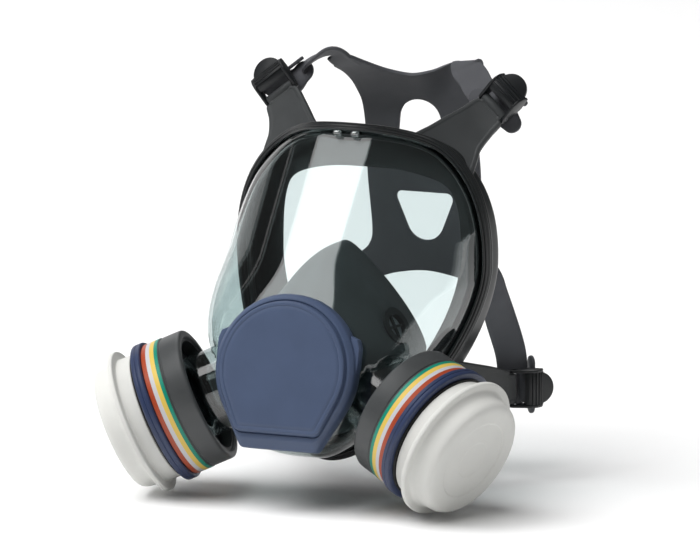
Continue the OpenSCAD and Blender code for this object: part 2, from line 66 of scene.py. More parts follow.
class Side(Enum):
    """Side of the mask as seen from the front, with the sign of its X."""

    LEFT = -1
    RIGHT = 1

    @property
    def word(self) -> str:
        """Word used for the side in node names."""
        return self.name.lower()


class Level(Enum):
    """Upper or lower pair of straps."""

    UPPER = "upper"
    LOWER = "lower"


class Slot(Enum):
    """Material slots of the record."""

    LENS = "lens"
    FACE = "face_rubber"
    CUP = "cup_rubber"
    COVER = "cover_blue"
    RING = "ring_blue"
    SHELL = "canister_shell"
    BAND = "band_stripes"
    WHITE = "filter_white"
    HARNESS = "harness_rubber"
    BUCKLE = "buckle_plastic"


def tone(red: Number, green: Number, blue: Number) -> tuple[float, float, float, float]:
    """Linear colour of a display colour.

    Args:
        red: Red from 0 to 255.
        green: Green from 0 to 255.
        blue: Blue from 0 to 255.

    Returns:
        Linear red, green, blue and an alpha of 1.
    """
    channels = [v / 255 for v in (red, green, blue)]
    linear = [c / 12.92 if c <= 0.04045 else ((c + 0.055) / 1.055) ** 2.4 for c in channels]
    return (linear[0], linear[1], linear[2], 1.0)


class Wire:
    """A shader socket that takes part in plain arithmetic."""

    def __init__(self, graph: "Graph", socket: bpy.types.NodeSocket) -> None:
        """Wraps an output socket of a graph."""
        self.graph = graph
        self.socket = socket

    def math(self, operation: str, *values: "Wire | Number") -> "Wire":
        """Result of a Math node's operation on these values."""
        return self.graph.add("ShaderNodeMath", {"operation": operation}, dict(enumerate(values)))

    def __add__(self, other: "Wire | Number") -> "Wire":
        """Sum."""
        return self.math("ADD", self, other)

    def __sub__(self, other: "Wire | Number") -> "Wire":
        """Difference."""
        return self.math("SUBTRACT", self, other)

    def __mul__(self, other: "Wire | Number") -> "Wire":
        """Product."""
        return self.math("MULTIPLY", self, other)

    def __truediv__(self, other: "Wire | Number") -> "Wire":
        """Quotient."""
        return self.math("DIVIDE", self, other)

    def __pow__(self, other: "Wire | Number") -> "Wire":
        """Power."""
        return self.math("POWER", self, other)

    def __abs__(self) -> "Wire":
        """Size without its sign."""
        return self.math("ABSOLUTE", self)


class Graph:
    """Node tree of one material."""

    def __init__(self, name: str) -> None:
        """Starts an empty material.

        Args:
            name: Name of the material.
        """
        self.material = bpy.data.materials.new(name)
        self.material.use_nodes = True
        self.tree = self.material.node_tree
        self.tree.nodes.clear()

    def add(
        self,
        kind: str,
        settings: dict[str, Any] | None = None,
        inputs: dict[str | int, Any] | None = None,
        output: str | int = 0,
    ) -> Wire | None:
        """Adds one node.

        Args:
            kind: Type of the node.
            settings: Properties set first; "stops" gives a ramp's places and colours.
            inputs: Values or wires of its sockets.
            output: Socket that is returned.

        Returns:
            The chosen output, or None from a node without outputs.
        """
        made = self.tree.nodes.new(kind)
        for key, value in (settings or {}).items():
            if key == "stops":
                self._fill_ramp(made.color_ramp, value)
            else:
                setattr(made, key, value)
        for key, value in (inputs or {}).items():
            if isinstance(value, Wire):
                self.tree.links.new(value.socket, made.inputs[key])
            else:
                made.inputs[key].default_value = value
        return Wire(self, made.outputs[output]) if made.outputs else None

    @staticmethod
    def _fill_ramp(ramp: bpy.types.ColorRamp, stops: Stops) -> None:
        """Gives a ramp its stops.

        Args:
            ramp: Ramp of a node.
            stops: Place and colour of each stop.
        """
        while len(ramp.elements) > 1:
            ramp.elements.remove(ramp.elements[-1])
        ramp.elements[0].position, ramp.elements[0].color = stops[0]
        for place, colour in stops[1:]:
            ramp.elements.new(place).color = colour

    def place(self) -> Wire:
        """Object coordinates."""
        return self.add("ShaderNodeTexCoord", output="Object")

    def noise(self, scale: float, detail: float = 3.0, stretch: Point = (1, 1, 1)) -> Wire:
        """Noise from 0 to 1 with a number of cells to the metre, pulled out along the axes by stretch."""
        spot = self.add("ShaderNodeMapping", None, {"Vector": self.place(), "Scale": stretch})
        return self.add("ShaderNodeTexNoise", None, {"Vector": spot, "Scale": scale, "Detail": detail})

    def end(self, shader: Wire) -> bpy.types.Material:
        """Joins a shader to the output and returns the material."""
        self.add("ShaderNodeOutputMaterial", None, {"Surface": shader})
        return self.material


@dataclass(frozen=True)
class Finish:
    """A finish with fine grain, worn patches and an uneven sheen.

    Attributes:
        name: Name of the material.
        colour: Display colour from 0 to 255.
        rough: Middle of the roughness.
        grain: Cells of the fine grain to the metre.
        relief: Depth of the grain in mm.
        patch: Share by which the colour varies over broad patches.
        coat: Weight of a clear coat.
    """

    PATCH_CELLS: ClassVar[float] = 45.0
    SHEEN_CELLS: ClassVar[float] = 120.0
    SHEEN_SPREAD: ClassVar[float] = 0.16
    RELIEF_STRENGTH: ClassVar[float] = 0.6
    COAT_ROUGH: ClassVar[float] = 0.12

    name: str
    colour: tuple[int, int, int]
    rough: float = 0.5
    grain: float = 1500.0
    relief: float = 0.03
    patch: float = 0.12
    coat: float = 0.0

    def base(self, graph: Graph) -> Wire:
        """Colour of the surface.

        Args:
            graph: Graph that gets the nodes.

        Returns:
            The colour.
        """
        plain = tone(*self.colour)
        low = tuple(c * (1 - self.patch) for c in plain[:3]) + (1.0,)
        high = tuple(min(1, c * (1 + self.patch)) for c in plain[:3]) + (1.0,)
        patches = graph.noise(self.PATCH_CELLS, 5)
        return graph.add("ShaderNodeValToRGB", {"stops": [(0.3, low), (0.7, high)]}, {0: patches})

    def height(self, graph: Graph) -> Wire:
        """Height of the fine relief."""
        return graph.noise(self.grain, 4)

    def material(self) -> bpy.types.Material:
        """Material of the finish.

        Returns:
            The material, which is built once.
        """
        if self.name not in MATERIALS:
            MATERIALS[self.name] = self.paint(Graph(f"{self.name}_finish"))
        return MATERIALS[self.name]

    def paint(self, graph: Graph) -> bpy.types.Material:
        """Fills a graph with the finish.

        Args:
            graph: Empty graph.

        Returns:
            The graph's material.
        """
        sheen = graph.noise(self.SHEEN_CELLS, 4) * self.SHEEN_SPREAD + (self.rough - self.SHEEN_SPREAD / 2)
        bump = graph.add(
            "ShaderNodeBump", None,
            {"Strength": self.RELIEF_STRENGTH, "Distance": self.relief * MM, "Height": self.height(graph)})
        shader = graph.add(
            "ShaderNodeBsdfPrincipled", None,
            {"Base Color": self.base(graph), "Roughness": sheen, "Coat Weight": self.coat,
             "Coat Roughness": self.COAT_ROUGH, "Normal": bump})
        return graph.end(shader)


@dataclass(frozen=True)
class Metal(Finish):
    """Drawn steel with fine lines."""

    LINE_STRETCH: ClassVar[Point] = (1, 1, 0.05)
    LINE_SPREAD: ClassVar[float] = 0.2

    def paint(self, graph: Graph) -> bpy.types.Material:
        """Fills a graph with the metal.

        Args:
            graph: Empty graph.

        Returns:
            The graph's material.
        """
        lines = graph.noise(self.grain, 2, self.LINE_STRETCH)
        rough = lines * self.LINE_SPREAD + self.rough
        shader = graph.add(
            "ShaderNodeBsdfPrincipled", None,
            {"Base Color": self.base(graph), "Metallic": 1.0, "Roughness": rough})
        return graph.end(shader)


@dataclass(frozen=True)
class Fibre(Finish):
    """White moulded fibre board with a soft, matted surface."""

    FINE_STRETCH: ClassVar[Point] = (1, 0.35, 1)
    COARSE_STRETCH: ClassVar[Point] = (0.4, 1, 1)
    COARSE_SHARE: ClassVar[float] = 0.5

    def height(self, graph: Graph) -> Wire:
        """Height of matted fibres, fine ones along one axis and coarse ones along another."""
        fine = graph.noise(self.grain, 6, self.FINE_STRETCH)
        return fine + graph.noise(self.grain * self.COARSE_SHARE, 4, self.COARSE_STRETCH)


@dataclass(frozen=True)
class Striped(Finish):
    """Printed band with stripes across a filter's axis.

    Attributes:
        seat: Middle of the canister's inner rim on the right side, in mm.
        axis: Direction of the right filter's axis.
        start: Place on the axis where the first stripe starts, in mm.
        length: Length of the band, in mm.
        stripes: Share of the length where each stripe starts, and its display colour.
    """

    seat: Point = (0, 0, 0)
    axis: Point = (0, 0, 1)
    start: float = 0.0
    length: float = 1.0
    stripes: tuple[tuple[float, tuple[int, int, int]], ...] = ()

    def base(self, graph: Graph) -> Wire:
        """Colour of the stripe at a place on the axis.

        Args:
            graph: Graph that gets the nodes.

        Returns:
            The colour.
        """
        spot = graph.add("ShaderNodeSeparateXYZ", None, {0: graph.place()})
        x, y, z = (Wire(graph, s) for s in spot.socket.node.outputs)
        sx, sy, sz = (v * MM for v in self.seat)
        ax, ay, az = self.axis
        along = (abs(x) - sx) * ax + (y - sy) * ay + (z - sz) * az
        share = (along - self.start * MM) / (self.length * MM)
        ramp = graph.add(
            "ShaderNodeValToRGB", {"stops": [(p, tone(*c)) for p, c in self.stripes]}, {0: share})
        ramp.socket.node.color_ramp.interpolation = "CONSTANT"
        return ramp


@dataclass(frozen=True)
class Clear(Finish):
    """Clear moulded plastic: see-through with a tint, and a gloss that grows towards its edges.

    Attributes:
        index: Refractive index that sets the gloss.
        haze: Least share of gloss, from fine scuffs.
    """

    SMEAR_CELLS: ClassVar[float] = 60.0
    SMEAR_SPREAD: ClassVar[float] = 0.03

    index: float = 1.58
    haze: float = 0.015

    def paint(self, graph: Graph) -> bpy.types.Material:
        """Fills a graph with the clear plastic.

        Args:
            graph: Empty graph.

        Returns:
            The graph's material.
        """
        through = graph.add("ShaderNodeBsdfTransparent", None, {"Color": tone(*self.colour)})
        smear = graph.noise(self.SMEAR_CELLS, 3) * self.SMEAR_SPREAD + self.rough
        gloss = graph.add("ShaderNodeBsdfGlossy", None, {"Color": (1, 1, 1, 1), "Roughness": smear})
        facing = graph.add("ShaderNodeLayerWeight", None, {"Blend": 0.5}, "Facing")
        least = ((self.index - 1) / (self.index + 1)) ** 2
        share = facing**5 * (1 - least) + (least + self.haze)
        shader = graph.add("ShaderNodeMixShader", None, {0: share, 1: through, 2: gloss})
        return graph.end(shader)


MATERIALS: dict[str, bpy.types.Material] = {}
FILTER_SEAT = Vector((66, -97, -64))
FILTER_AXIS = Vector((0.88, -0.243, -0.409)).normalized()
BAND_START = 14.8
BAND_LENGTH = 11.0

LENS_FINISH = Clear("clear_lens", (236, 243, 243), 0.02)
LUG_FINISH = Clear("clear_lug", (228, 234, 234), 0.1, haze=0.2)
PORT_FINISH = Clear("clear_port", (205, 214, 214), 0.06, haze=0.05)
RIM_FINISH = Finish("face_rubber", (30, 32, 33), 0.36, 1300, 0.02, 0.2)
TAB_FINISH = Finish("tab_rubber", (52, 54, 55), 0.5, 1500, 0.03, 0.12)
CUP_FINISH = Finish("cup_rubber", (66, 68, 70), 0.45, 1500, 0.02, 0.1)
DARK_FINISH = Finish("dark_plastic", (34, 35, 37), 0.45)
SILICONE_FINISH = Finish("silicone", (138, 141, 145), 0.4)
COVER_FINISH = Finish("cover_blue", (67, 80, 106), 0.52, 1800, 0.05, 0.06)
RING_FINISH = Finish("ring_blue", (43, 54, 84), 0.42, 1600, 0.03, 0.08)
GASKET_FINISH = Finish("gasket_rubber", (20, 20, 21), 0.6)
SHELL_FINISH = Finish("canister_shell", (64, 66, 67), 0.4, 1700, 0.04, 0.07)
BASE_FINISH = Finish("canister_base", (44, 46, 47), 0.5)
CHARCOAL_FINISH = Finish("charcoal", (18, 18, 18), 0.85, 700, 0.4)
SCREEN_FINISH = Metal("screen_metal", (190, 190, 192), 0.3, 900)
WHITE_FINISH = Fibre("filter_white", (212, 212, 208), 0.72, 1400, 0.06, 0.025)
FELT_FINISH = Fibre("filter_felt", (236, 236, 230), 0.9, 1000, 0.2, 0.04)
HARNESS_FINISH = Finish("harness_rubber", (72, 73, 77), 0.62, 1700, 0.05, 0.08)
STEEL_FINISH = Metal("pin_steel", (182, 183, 186), 0.25, 1800)
BUCKLE_FINISH = Finish("buckle_plastic", (23, 25, 27), 0.38, 1700, 0.03, 0.1)
FLOOR_FINISH = Finish("floor_paper", (250, 250, 250), 0.9, 300, 0.05, 0.004)
STRIPE_FINISH = Striped(
    "band_stripes", (200, 200, 200), 0.35, 1500, 0.01, 0.0,
    seat=tuple(FILTER_SEAT), axis=tuple(FILTER_AXIS), start=BAND_START, length=BAND_LENGTH,
    stripes=((0.0, (11, 130, 108)), (0.21, (214, 182, 84)), (0.48, (190, 190, 194)), (0.72, (164, 68, 38))))


def spline(before: float, start: float, end: float, after: float, share: float) -> float:
    """Value between two points of a smooth curve.

    Args:
        before: Value of the point before the span.
        start: Value at the span's start.
        end: Value at the span's end.
        after: Value of the point after the span.
        share: Share of the span.

    Returns:
        The value there.
    """
    square = 2 * before - 5 * start + 4 * end - after
    cube = 3 * start - before - 3 * end + after
    return 0.5 * (2 * start + (end - before) * share + square * share**2 + cube * share**3)


def smooth_line(points: Sequence[Sequence[float]], steps: int, closed: bool = False) -> list[list[float]]:
    """Smooth curve through a few points of any size.

    Args:
        points: Points to pass through.
        steps: Steps in each span.
        closed: Whether the last point joins the first.

    Returns:
        Points along the curve.
    """
    count = len(points)
    spans = count if closed else count - 1
    pick = (lambda i: points[i % count]) if closed else (lambda i: points[min(count - 1, max(0, i))])
    line = []
    for i in range(spans):
        around = [pick(i - 1), pick(i), pick(i + 1), pick(i + 2)]
        for k in range(steps):
            line.append([spline(*values, k / steps) for values in zip(*around)])
    return line if closed else line + [list(points[-1])]


def rounded_path(points: Sequence[Point], bites: int = 4) -> list[Pair]:
    """Closed flat path with its corners rounded.

    Args:
        points: Corners as x, y and the length that is cut from each leg.
        bites: Steps round a corner.

    Returns:
        Points of the path.
    """
    path: list[Pair] = []
    count = len(points)
    for i, (x, y, cut) in enumerate(points):
        if cut <= 0:
            path.append((x, y))
            continue
        corner = Vector((x, y))
        legs = [Vector(points[k % count][:2]) - corner for k in (i - 1, i + 1)]
        start, end = (corner + leg.normalized() * min(cut, LEG_SHARE * leg.length) for leg in legs)
        for k in range(bites + 1):
            u = k / bites
            spot = start * (1 - u) ** 2 + corner * 2 * u * (1 - u) + end * u * u
            path.append((spot.x, spot.y))
    return path


def hull_outline(circles: Sequence[Point], count: int = 64) -> list[Vector]:
    """Outline wrapped round circles.

    Args:
        circles: Middle x, middle y and radius of each circle.
        count: Points on each circle.

    Returns:
        Corners of the outline, anticlockwise.
    """
    turn = [2 * math.pi * k / count for k in range(count)]
    spots = sorted({
        (round(x + r * math.cos(t), 5), round(y + r * math.sin(t), 5)) for x, y, r in circles for t in turn})

    def chain(order: Sequence[Pair]) -> list[Pair]:
        """One side of the hull.

        Args:
            order: Points sorted along the side.

        Returns:
            The points that lie on the hull.
        """
        side: list[Pair] = []
        for p in order:
            while len(side) > 1 and (side[-1][0] - side[-2][0]) * (p[1] - side[-2][1]) <= (
                    side[-1][1] - side[-2][1]) * (p[0] - side[-2][0]):
                side.pop()
            side.append(p)
        return side

    return [Vector(p) for p in chain(spots)[:-1] + chain(spots[::-1])[:-1]]


def ray_outline(outline: Sequence[Vector], count: int) -> list[Vector]:
    """Points of a convex outline at even angles about its origin.

    Args:
        outline: Corners, anticlockwise.
        count: Number of points.

    Returns:
        One point for each angle.
    """
    spots = []
    for k in range(count):
        turn = 2 * math.pi * k / count
        ray = Vector((math.cos(turn), math.sin(turn)))
        best = 0.0
        for a, b in zip(outline, [*outline[1:], outline[0]]):
            leg = b - a
            across = ray.x * leg.y - ray.y * leg.x
            if abs(across) < SPECK:
                continue
            share = (a.y * ray.x - a.x * ray.y) / -across
            if -TINY <= share <= 1 + TINY:
                best = max(best, (a + leg * share).dot(ray))
        spots.append(ray * best)
    return spots


def inside(point: Vector, outline: Sequence[Vector]) -> bool:
    """Whether a flat point lies inside an outline.

    Args:
        point: Point in X and Y.
        outline: Corners of the outline.

    Returns:
        True inside.
    """
    hit = False
    for a, b in zip(outline, [*outline[1:], outline[0]]):
        if (a.y > point.y) != (b.y > point.y):
            if point.x < a.x + (point.y - a.y) * (b.x - a.x) / (b.y - a.y):
                hit = not hit
    return hit


def nearest(point: Vector, outline: Sequence[Vector]) -> Vector:
    """Place on an outline that is nearest to a flat point.

    Args:
        point: Point in X and Y.
        outline: Corners of the outline.

    Returns:
        The place.
    """
    best = outline[0]
    for a, b in zip(outline, [*outline[1:], outline[0]]):
        leg = b - a
        share = min(1.0, max(0.0, (point - a).dot(leg) / max(SPECK, leg.length_squared)))
        spot = a + leg * share
        if (spot - point).length < (best - point).length:
            best = spot
    return best


def smoothstep(low: float, high: float, value: float) -> float:
    """Smooth step from 0 at low to 1 at high."""
    u = min(1.0, max(0.0, (value - low) / (high - low)))
    return u * u * (3 - 2 * u)


def square_to(vector: Vector, axis: Vector) -> Vector:
    """Unit part of a vector that is square to an axis."""
    return (vector - axis * vector.dot(axis)).normalized()


def mirrored(vector: Vector, side: Side) -> Vector:
    """A right-hand point or direction on the given side."""
    return Vector((vector.x * side.value, vector.y, vector.z))


def axis_matrix(origin: Vector, axis: Vector, up: Vector = Vector((0, 0, 1))) -> Matrix:
    """Frame in mm whose Z runs along an axis.

    Args:
        origin: Origin of the frame.
        axis: Direction of its Z.
        up: Direction that its Y is near.

    Returns:
        The frame.
    """
    z = axis.normalized()
    y = square_to(up, z)
    x = y.cross(z)
    return Matrix.Translation(origin) @ Matrix((x, y, z)).transposed().to_4x4()


def linked(name: str, data: bpy.types.ID) -> bpy.types.Object:
    """New object with this data, in the scene's collection.

    Args:
        name: Name of the object.
        data: Its mesh, light or camera.

    Returns:
        The object.
    """
    made = bpy.data.objects.new(name, data)
    bpy.context.scene.collection.objects.link(made)
    return made


def clean(mesh: bmesh.types.BMesh) -> bmesh.types.BMesh:
    """Merges touching points and turns the faces outward.

    Args:
        mesh: Mesh in mm.

    Returns:
        The same mesh.
    """
    bmesh.ops.remove_doubles(mesh, verts=mesh.verts[:], dist=MERGE)
    bmesh.ops.recalc_face_normals(mesh, faces=mesh.faces[:])
    return mesh


def weave(rows: int, columns: int, place: Callable[[int, int], Vector]) -> bmesh.types.BMesh:
    """Grid of quads whose points are put in place one by one, in mm.

    Args:
        rows: Spans in the first direction.
        columns: Spans in the second direction.
        place: Gives the point of a row and column; ends that meet are merged.

    Returns:
        The mesh.
    """
    mesh = bmesh.new()
    bmesh.ops.create_grid(mesh, x_segments=rows, y_segments=columns, size=0.5)
    for vert in mesh.verts:
        vert.co = place(round((vert.co.x + 0.5) * rows), round((vert.co.y + 0.5) * columns))
    return clean(mesh)


def close_ends(mesh: bmesh.types.BMesh) -> bmesh.types.BMesh:
    """Fills every open loop of a mesh and turns the faces outward.

    Args:
        mesh: Mesh with open loops.

    Returns:
        The same mesh.
    """
    bmesh.ops.holes_fill(mesh, edges=[e for e in mesh.edges if e.is_boundary], sides=0)
    bmesh.ops.recalc_face_normals(mesh, faces=mesh.faces[:])
    return mesh


def lathe(profile: Sequence[Pair], steps: int = 128) -> bmesh.types.BMesh:
    """Body of revolution about Z from a closed profile, in mm.

    Args:
        profile: Radius and height of each point.
        steps: Steps round the axis.

    Returns:
        The mesh.
    """
    mesh = bmesh.new()
    verts = [mesh.verts.new((r, 0, s)) for r, s in profile]
    edges = [mesh.edges.new(pair) for pair in zip(verts, verts[1:] + verts[:1])]
    bmesh.ops.spin(
        mesh, geom=verts + edges, cent=(0, 0, 0), axis=(0, 0, 1), dvec=(0, 0, 0),
        angle=2 * math.pi, steps=steps, use_merge=True)
    return clean(mesh)


def moved(mesh: bmesh.types.BMesh, matrix: Matrix) -> bmesh.types.BMesh:
    """The same mesh, put through a matrix."""
    bmesh.ops.transform(mesh, matrix=matrix, verts=mesh.verts[:])
    return mesh


def soften(
    mesh: bmesh.types.BMesh, edges: Sequence[bmesh.types.BMEdge], width: float, segments: int = 2,
) -> None:
    """Rounds edges of a mesh.

    Args:
        mesh: Mesh in mm.
        edges: Edges to round.
        width: Width that is cut on each side of an edge.
        segments: Faces across a rounded edge.
    """
    bmesh.ops.bevel(
        mesh, geom=edges, offset=width, offset_type="OFFSET", affect="EDGES",
        segments=segments, profile=0.5, material=-1, clamp_overlap=True)


def level_edges(mesh: bmesh.types.BMesh) -> list[bmesh.types.BMEdge]:
    """Edges that run level, with no rise along Z."""
    return [e for e in mesh.edges if abs(e.verts[0].co.z - e.verts[1].co.z) < TINY]


def relax(mesh: bmesh.types.BMesh, verts: Sequence[bmesh.types.BMVert], factor: float) -> None:
    """Draws points towards their neighbours by a factor."""
    bmesh.ops.smooth_vert(
        mesh, verts=verts, factor=factor, use_axis_x=True, use_axis_y=True, use_axis_z=True)


def rod(radius: float, length: float, segments: int) -> bmesh.types.BMesh:
    """Round rod along Z about the origin, in mm.

    Args:
        radius: Radius of the rod.
        length: Length of the rod.
        segments: Faces round it.

    Returns:
        The mesh.
    """
    mesh = bmesh.new()
    bmesh.ops.create_cone(
        mesh, cap_ends=True, segments=segments, radius1=radius, radius2=radius, depth=length)
    return mesh


def slab(outline: Sequence[Sequence[float]], low: float, high: float, soft: float = 0.4) -> bmesh.types.BMesh:
    """Flat outline pulled up along Z with softened edges, in mm.

    Args:
        outline: Corners, anticlockwise.
        low: Lower height.
        high: Upper height.
        soft: Width of the softened edge.

    Returns:
        The mesh.
    """
    mesh = bmesh.new()
    base = mesh.faces.new([mesh.verts.new((p[0], p[1], low)) for p in outline])
    raised = bmesh.ops.extrude_face_region(mesh, geom=[base])["geom"]
    lid = [g for g in raised if isinstance(g, bmesh.types.BMVert)]
    bmesh.ops.translate(mesh, verts=lid, vec=(0, 0, high - low))
    bmesh.ops.recalc_face_normals(mesh, faces=mesh.faces[:])
    soften(mesh, level_edges(mesh), soft)
    return mesh


def joined(parts: Sequence[bmesh.types.BMesh]) -> bmesh.types.BMesh:
    """One mesh made of several.

    Args:
        parts: Meshes, freed here.

    Returns:
        The mesh that holds them all.
    """
    whole = bmesh.new()
    for part in parts:
        data = bpy.data.meshes.new("part")
        part.to_mesh(data)
        part.free()
        whole.from_mesh(data)
        bpy.data.meshes.remove(data)
    return whole


def turned(mesh: bmesh.types.BMesh, side: Side) -> bmesh.types.BMesh:
    """A right-hand mesh on the given side.

    Args:
        mesh: Mesh as it is on the right.
        side: Side that it is wanted on.

    Returns:
        The same mesh, mirrored for the left.
    """
    if side is Side.LEFT:
        bmesh.ops.scale(mesh, verts=mesh.verts[:], vec=(-1, 1, 1))
        bmesh.ops.reverse_faces(mesh, faces=mesh.faces[:])
    return mesh


@dataclass(frozen=True)
class Stop:
    """One place on a band's route: its middle, the direction across, its width and thickness, in mm."""

    at: Point
    across: Point
    width: float
    thickness: float


def sweep(stops: Sequence[Stop], steps: int, corner: float, dish: float = 0.0) -> bmesh.types.BMesh:
    """Flat band with rounded edges along a route, in mm.

    Args:
        stops: Places on the route.
        steps: Steps in each span.
        corner: Share of half the thickness that the edges are rounded by.
        dish: Depth of the shallow hollow along the band's faces.

    Returns:
        The mesh.
    """
    least_border, border_share, slope, ease = 2.5, 0.12, 0.8, 0.4
    route = smooth_line([[*s.at, *s.across, s.width, s.thickness] for s in stops], steps)
    last = len(route) - 1
    spots = [Vector(p[:3]) for p in route]
    rings = []
    for i, p in enumerate(route):
        along = (spots[min(last, i + 1)] - spots[max(0, i - 1)]).normalized()
        across = square_to(Vector(p[3:6]), along)
        up = along.cross(across)
        wide, thick = p[6] / 2, p[7] / 2
        cut = thick * corner
        flat = wide - max(least_border, border_share * wide)
        hollow = flat - slope
        half = [(wide, -thick, cut), (wide, thick, cut), (flat, thick, ease), (hollow, thick - dish, ease)]
        corners = half + [(-x, y, c) for x, y, c in half[:0:-1]]
        corners += [(-wide, -thick, cut), (-flat, -thick, ease), (-hollow, dish - thick, ease)]
        corners += [(hollow, dish - thick, ease), (flat, -thick, ease)]
        rings.append([spots[i] + across * x + up * y for x, y in rounded_path(corners, 3)])
    count = len(rings[0])
    return close_ends(weave(last, count, lambda i, j: rings[i][j % count]))


class Assembly:
    """A group of pieces that are built and dressed together."""

    def add(
        self,
        name: str,
        mesh: bmesh.types.BMesh,
        finish: Finish,
        slot: Slot,
        body: str | None,
        stands_for: Sequence[str] = (),
        crease: float = 38.0,
    ) -> bpy.types.Object:
        """Makes an object of a mesh in mm and fixes it to a body.

        Args:
            name: Name of the piece.
            mesh: Mesh in mm, freed here.
            finish: Finish of the piece.
            slot: Material slot of the record; not used.
            body: Body that it rides on, or None if it rides on none.
            stands_for: CAD nodes that it replaces.
            crease: Angle above which an edge stays sharp, in degrees.

        Returns:
            The object.
        """
        bmesh.ops.scale(mesh, verts=mesh.verts[:], vec=(MM, MM, MM))
        data = bpy.data.meshes.new(name)
        mesh.to_mesh(data)
        mesh.free()
        data.shade_smooth()
        data.set_sharp_from_angle(angle=math.radians(crease))
        data.materials.append(finish.material())
        piece = linked(name, data)
        if body:
            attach(piece, body)
        if stands_for:
            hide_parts(*stands_for)
        log.info("piece %s: %d faces", name, len(data.polygons))
        return piece

    def coat(self, node: str, finish: Finish) -> None:
        """Gives a CAD node a finish.

        Args:
            node: Name of the node.
            finish: Its finish.
        """
        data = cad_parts[node].data
        data.materials.clear()
        data.materials.append(finish.material())
        log.info("node %s: %s", node, finish.name)

    def build(self) -> None:
        """Makes the pieces."""

    def dress(self) -> None:
        """Finishes the CAD nodes that stay in view."""


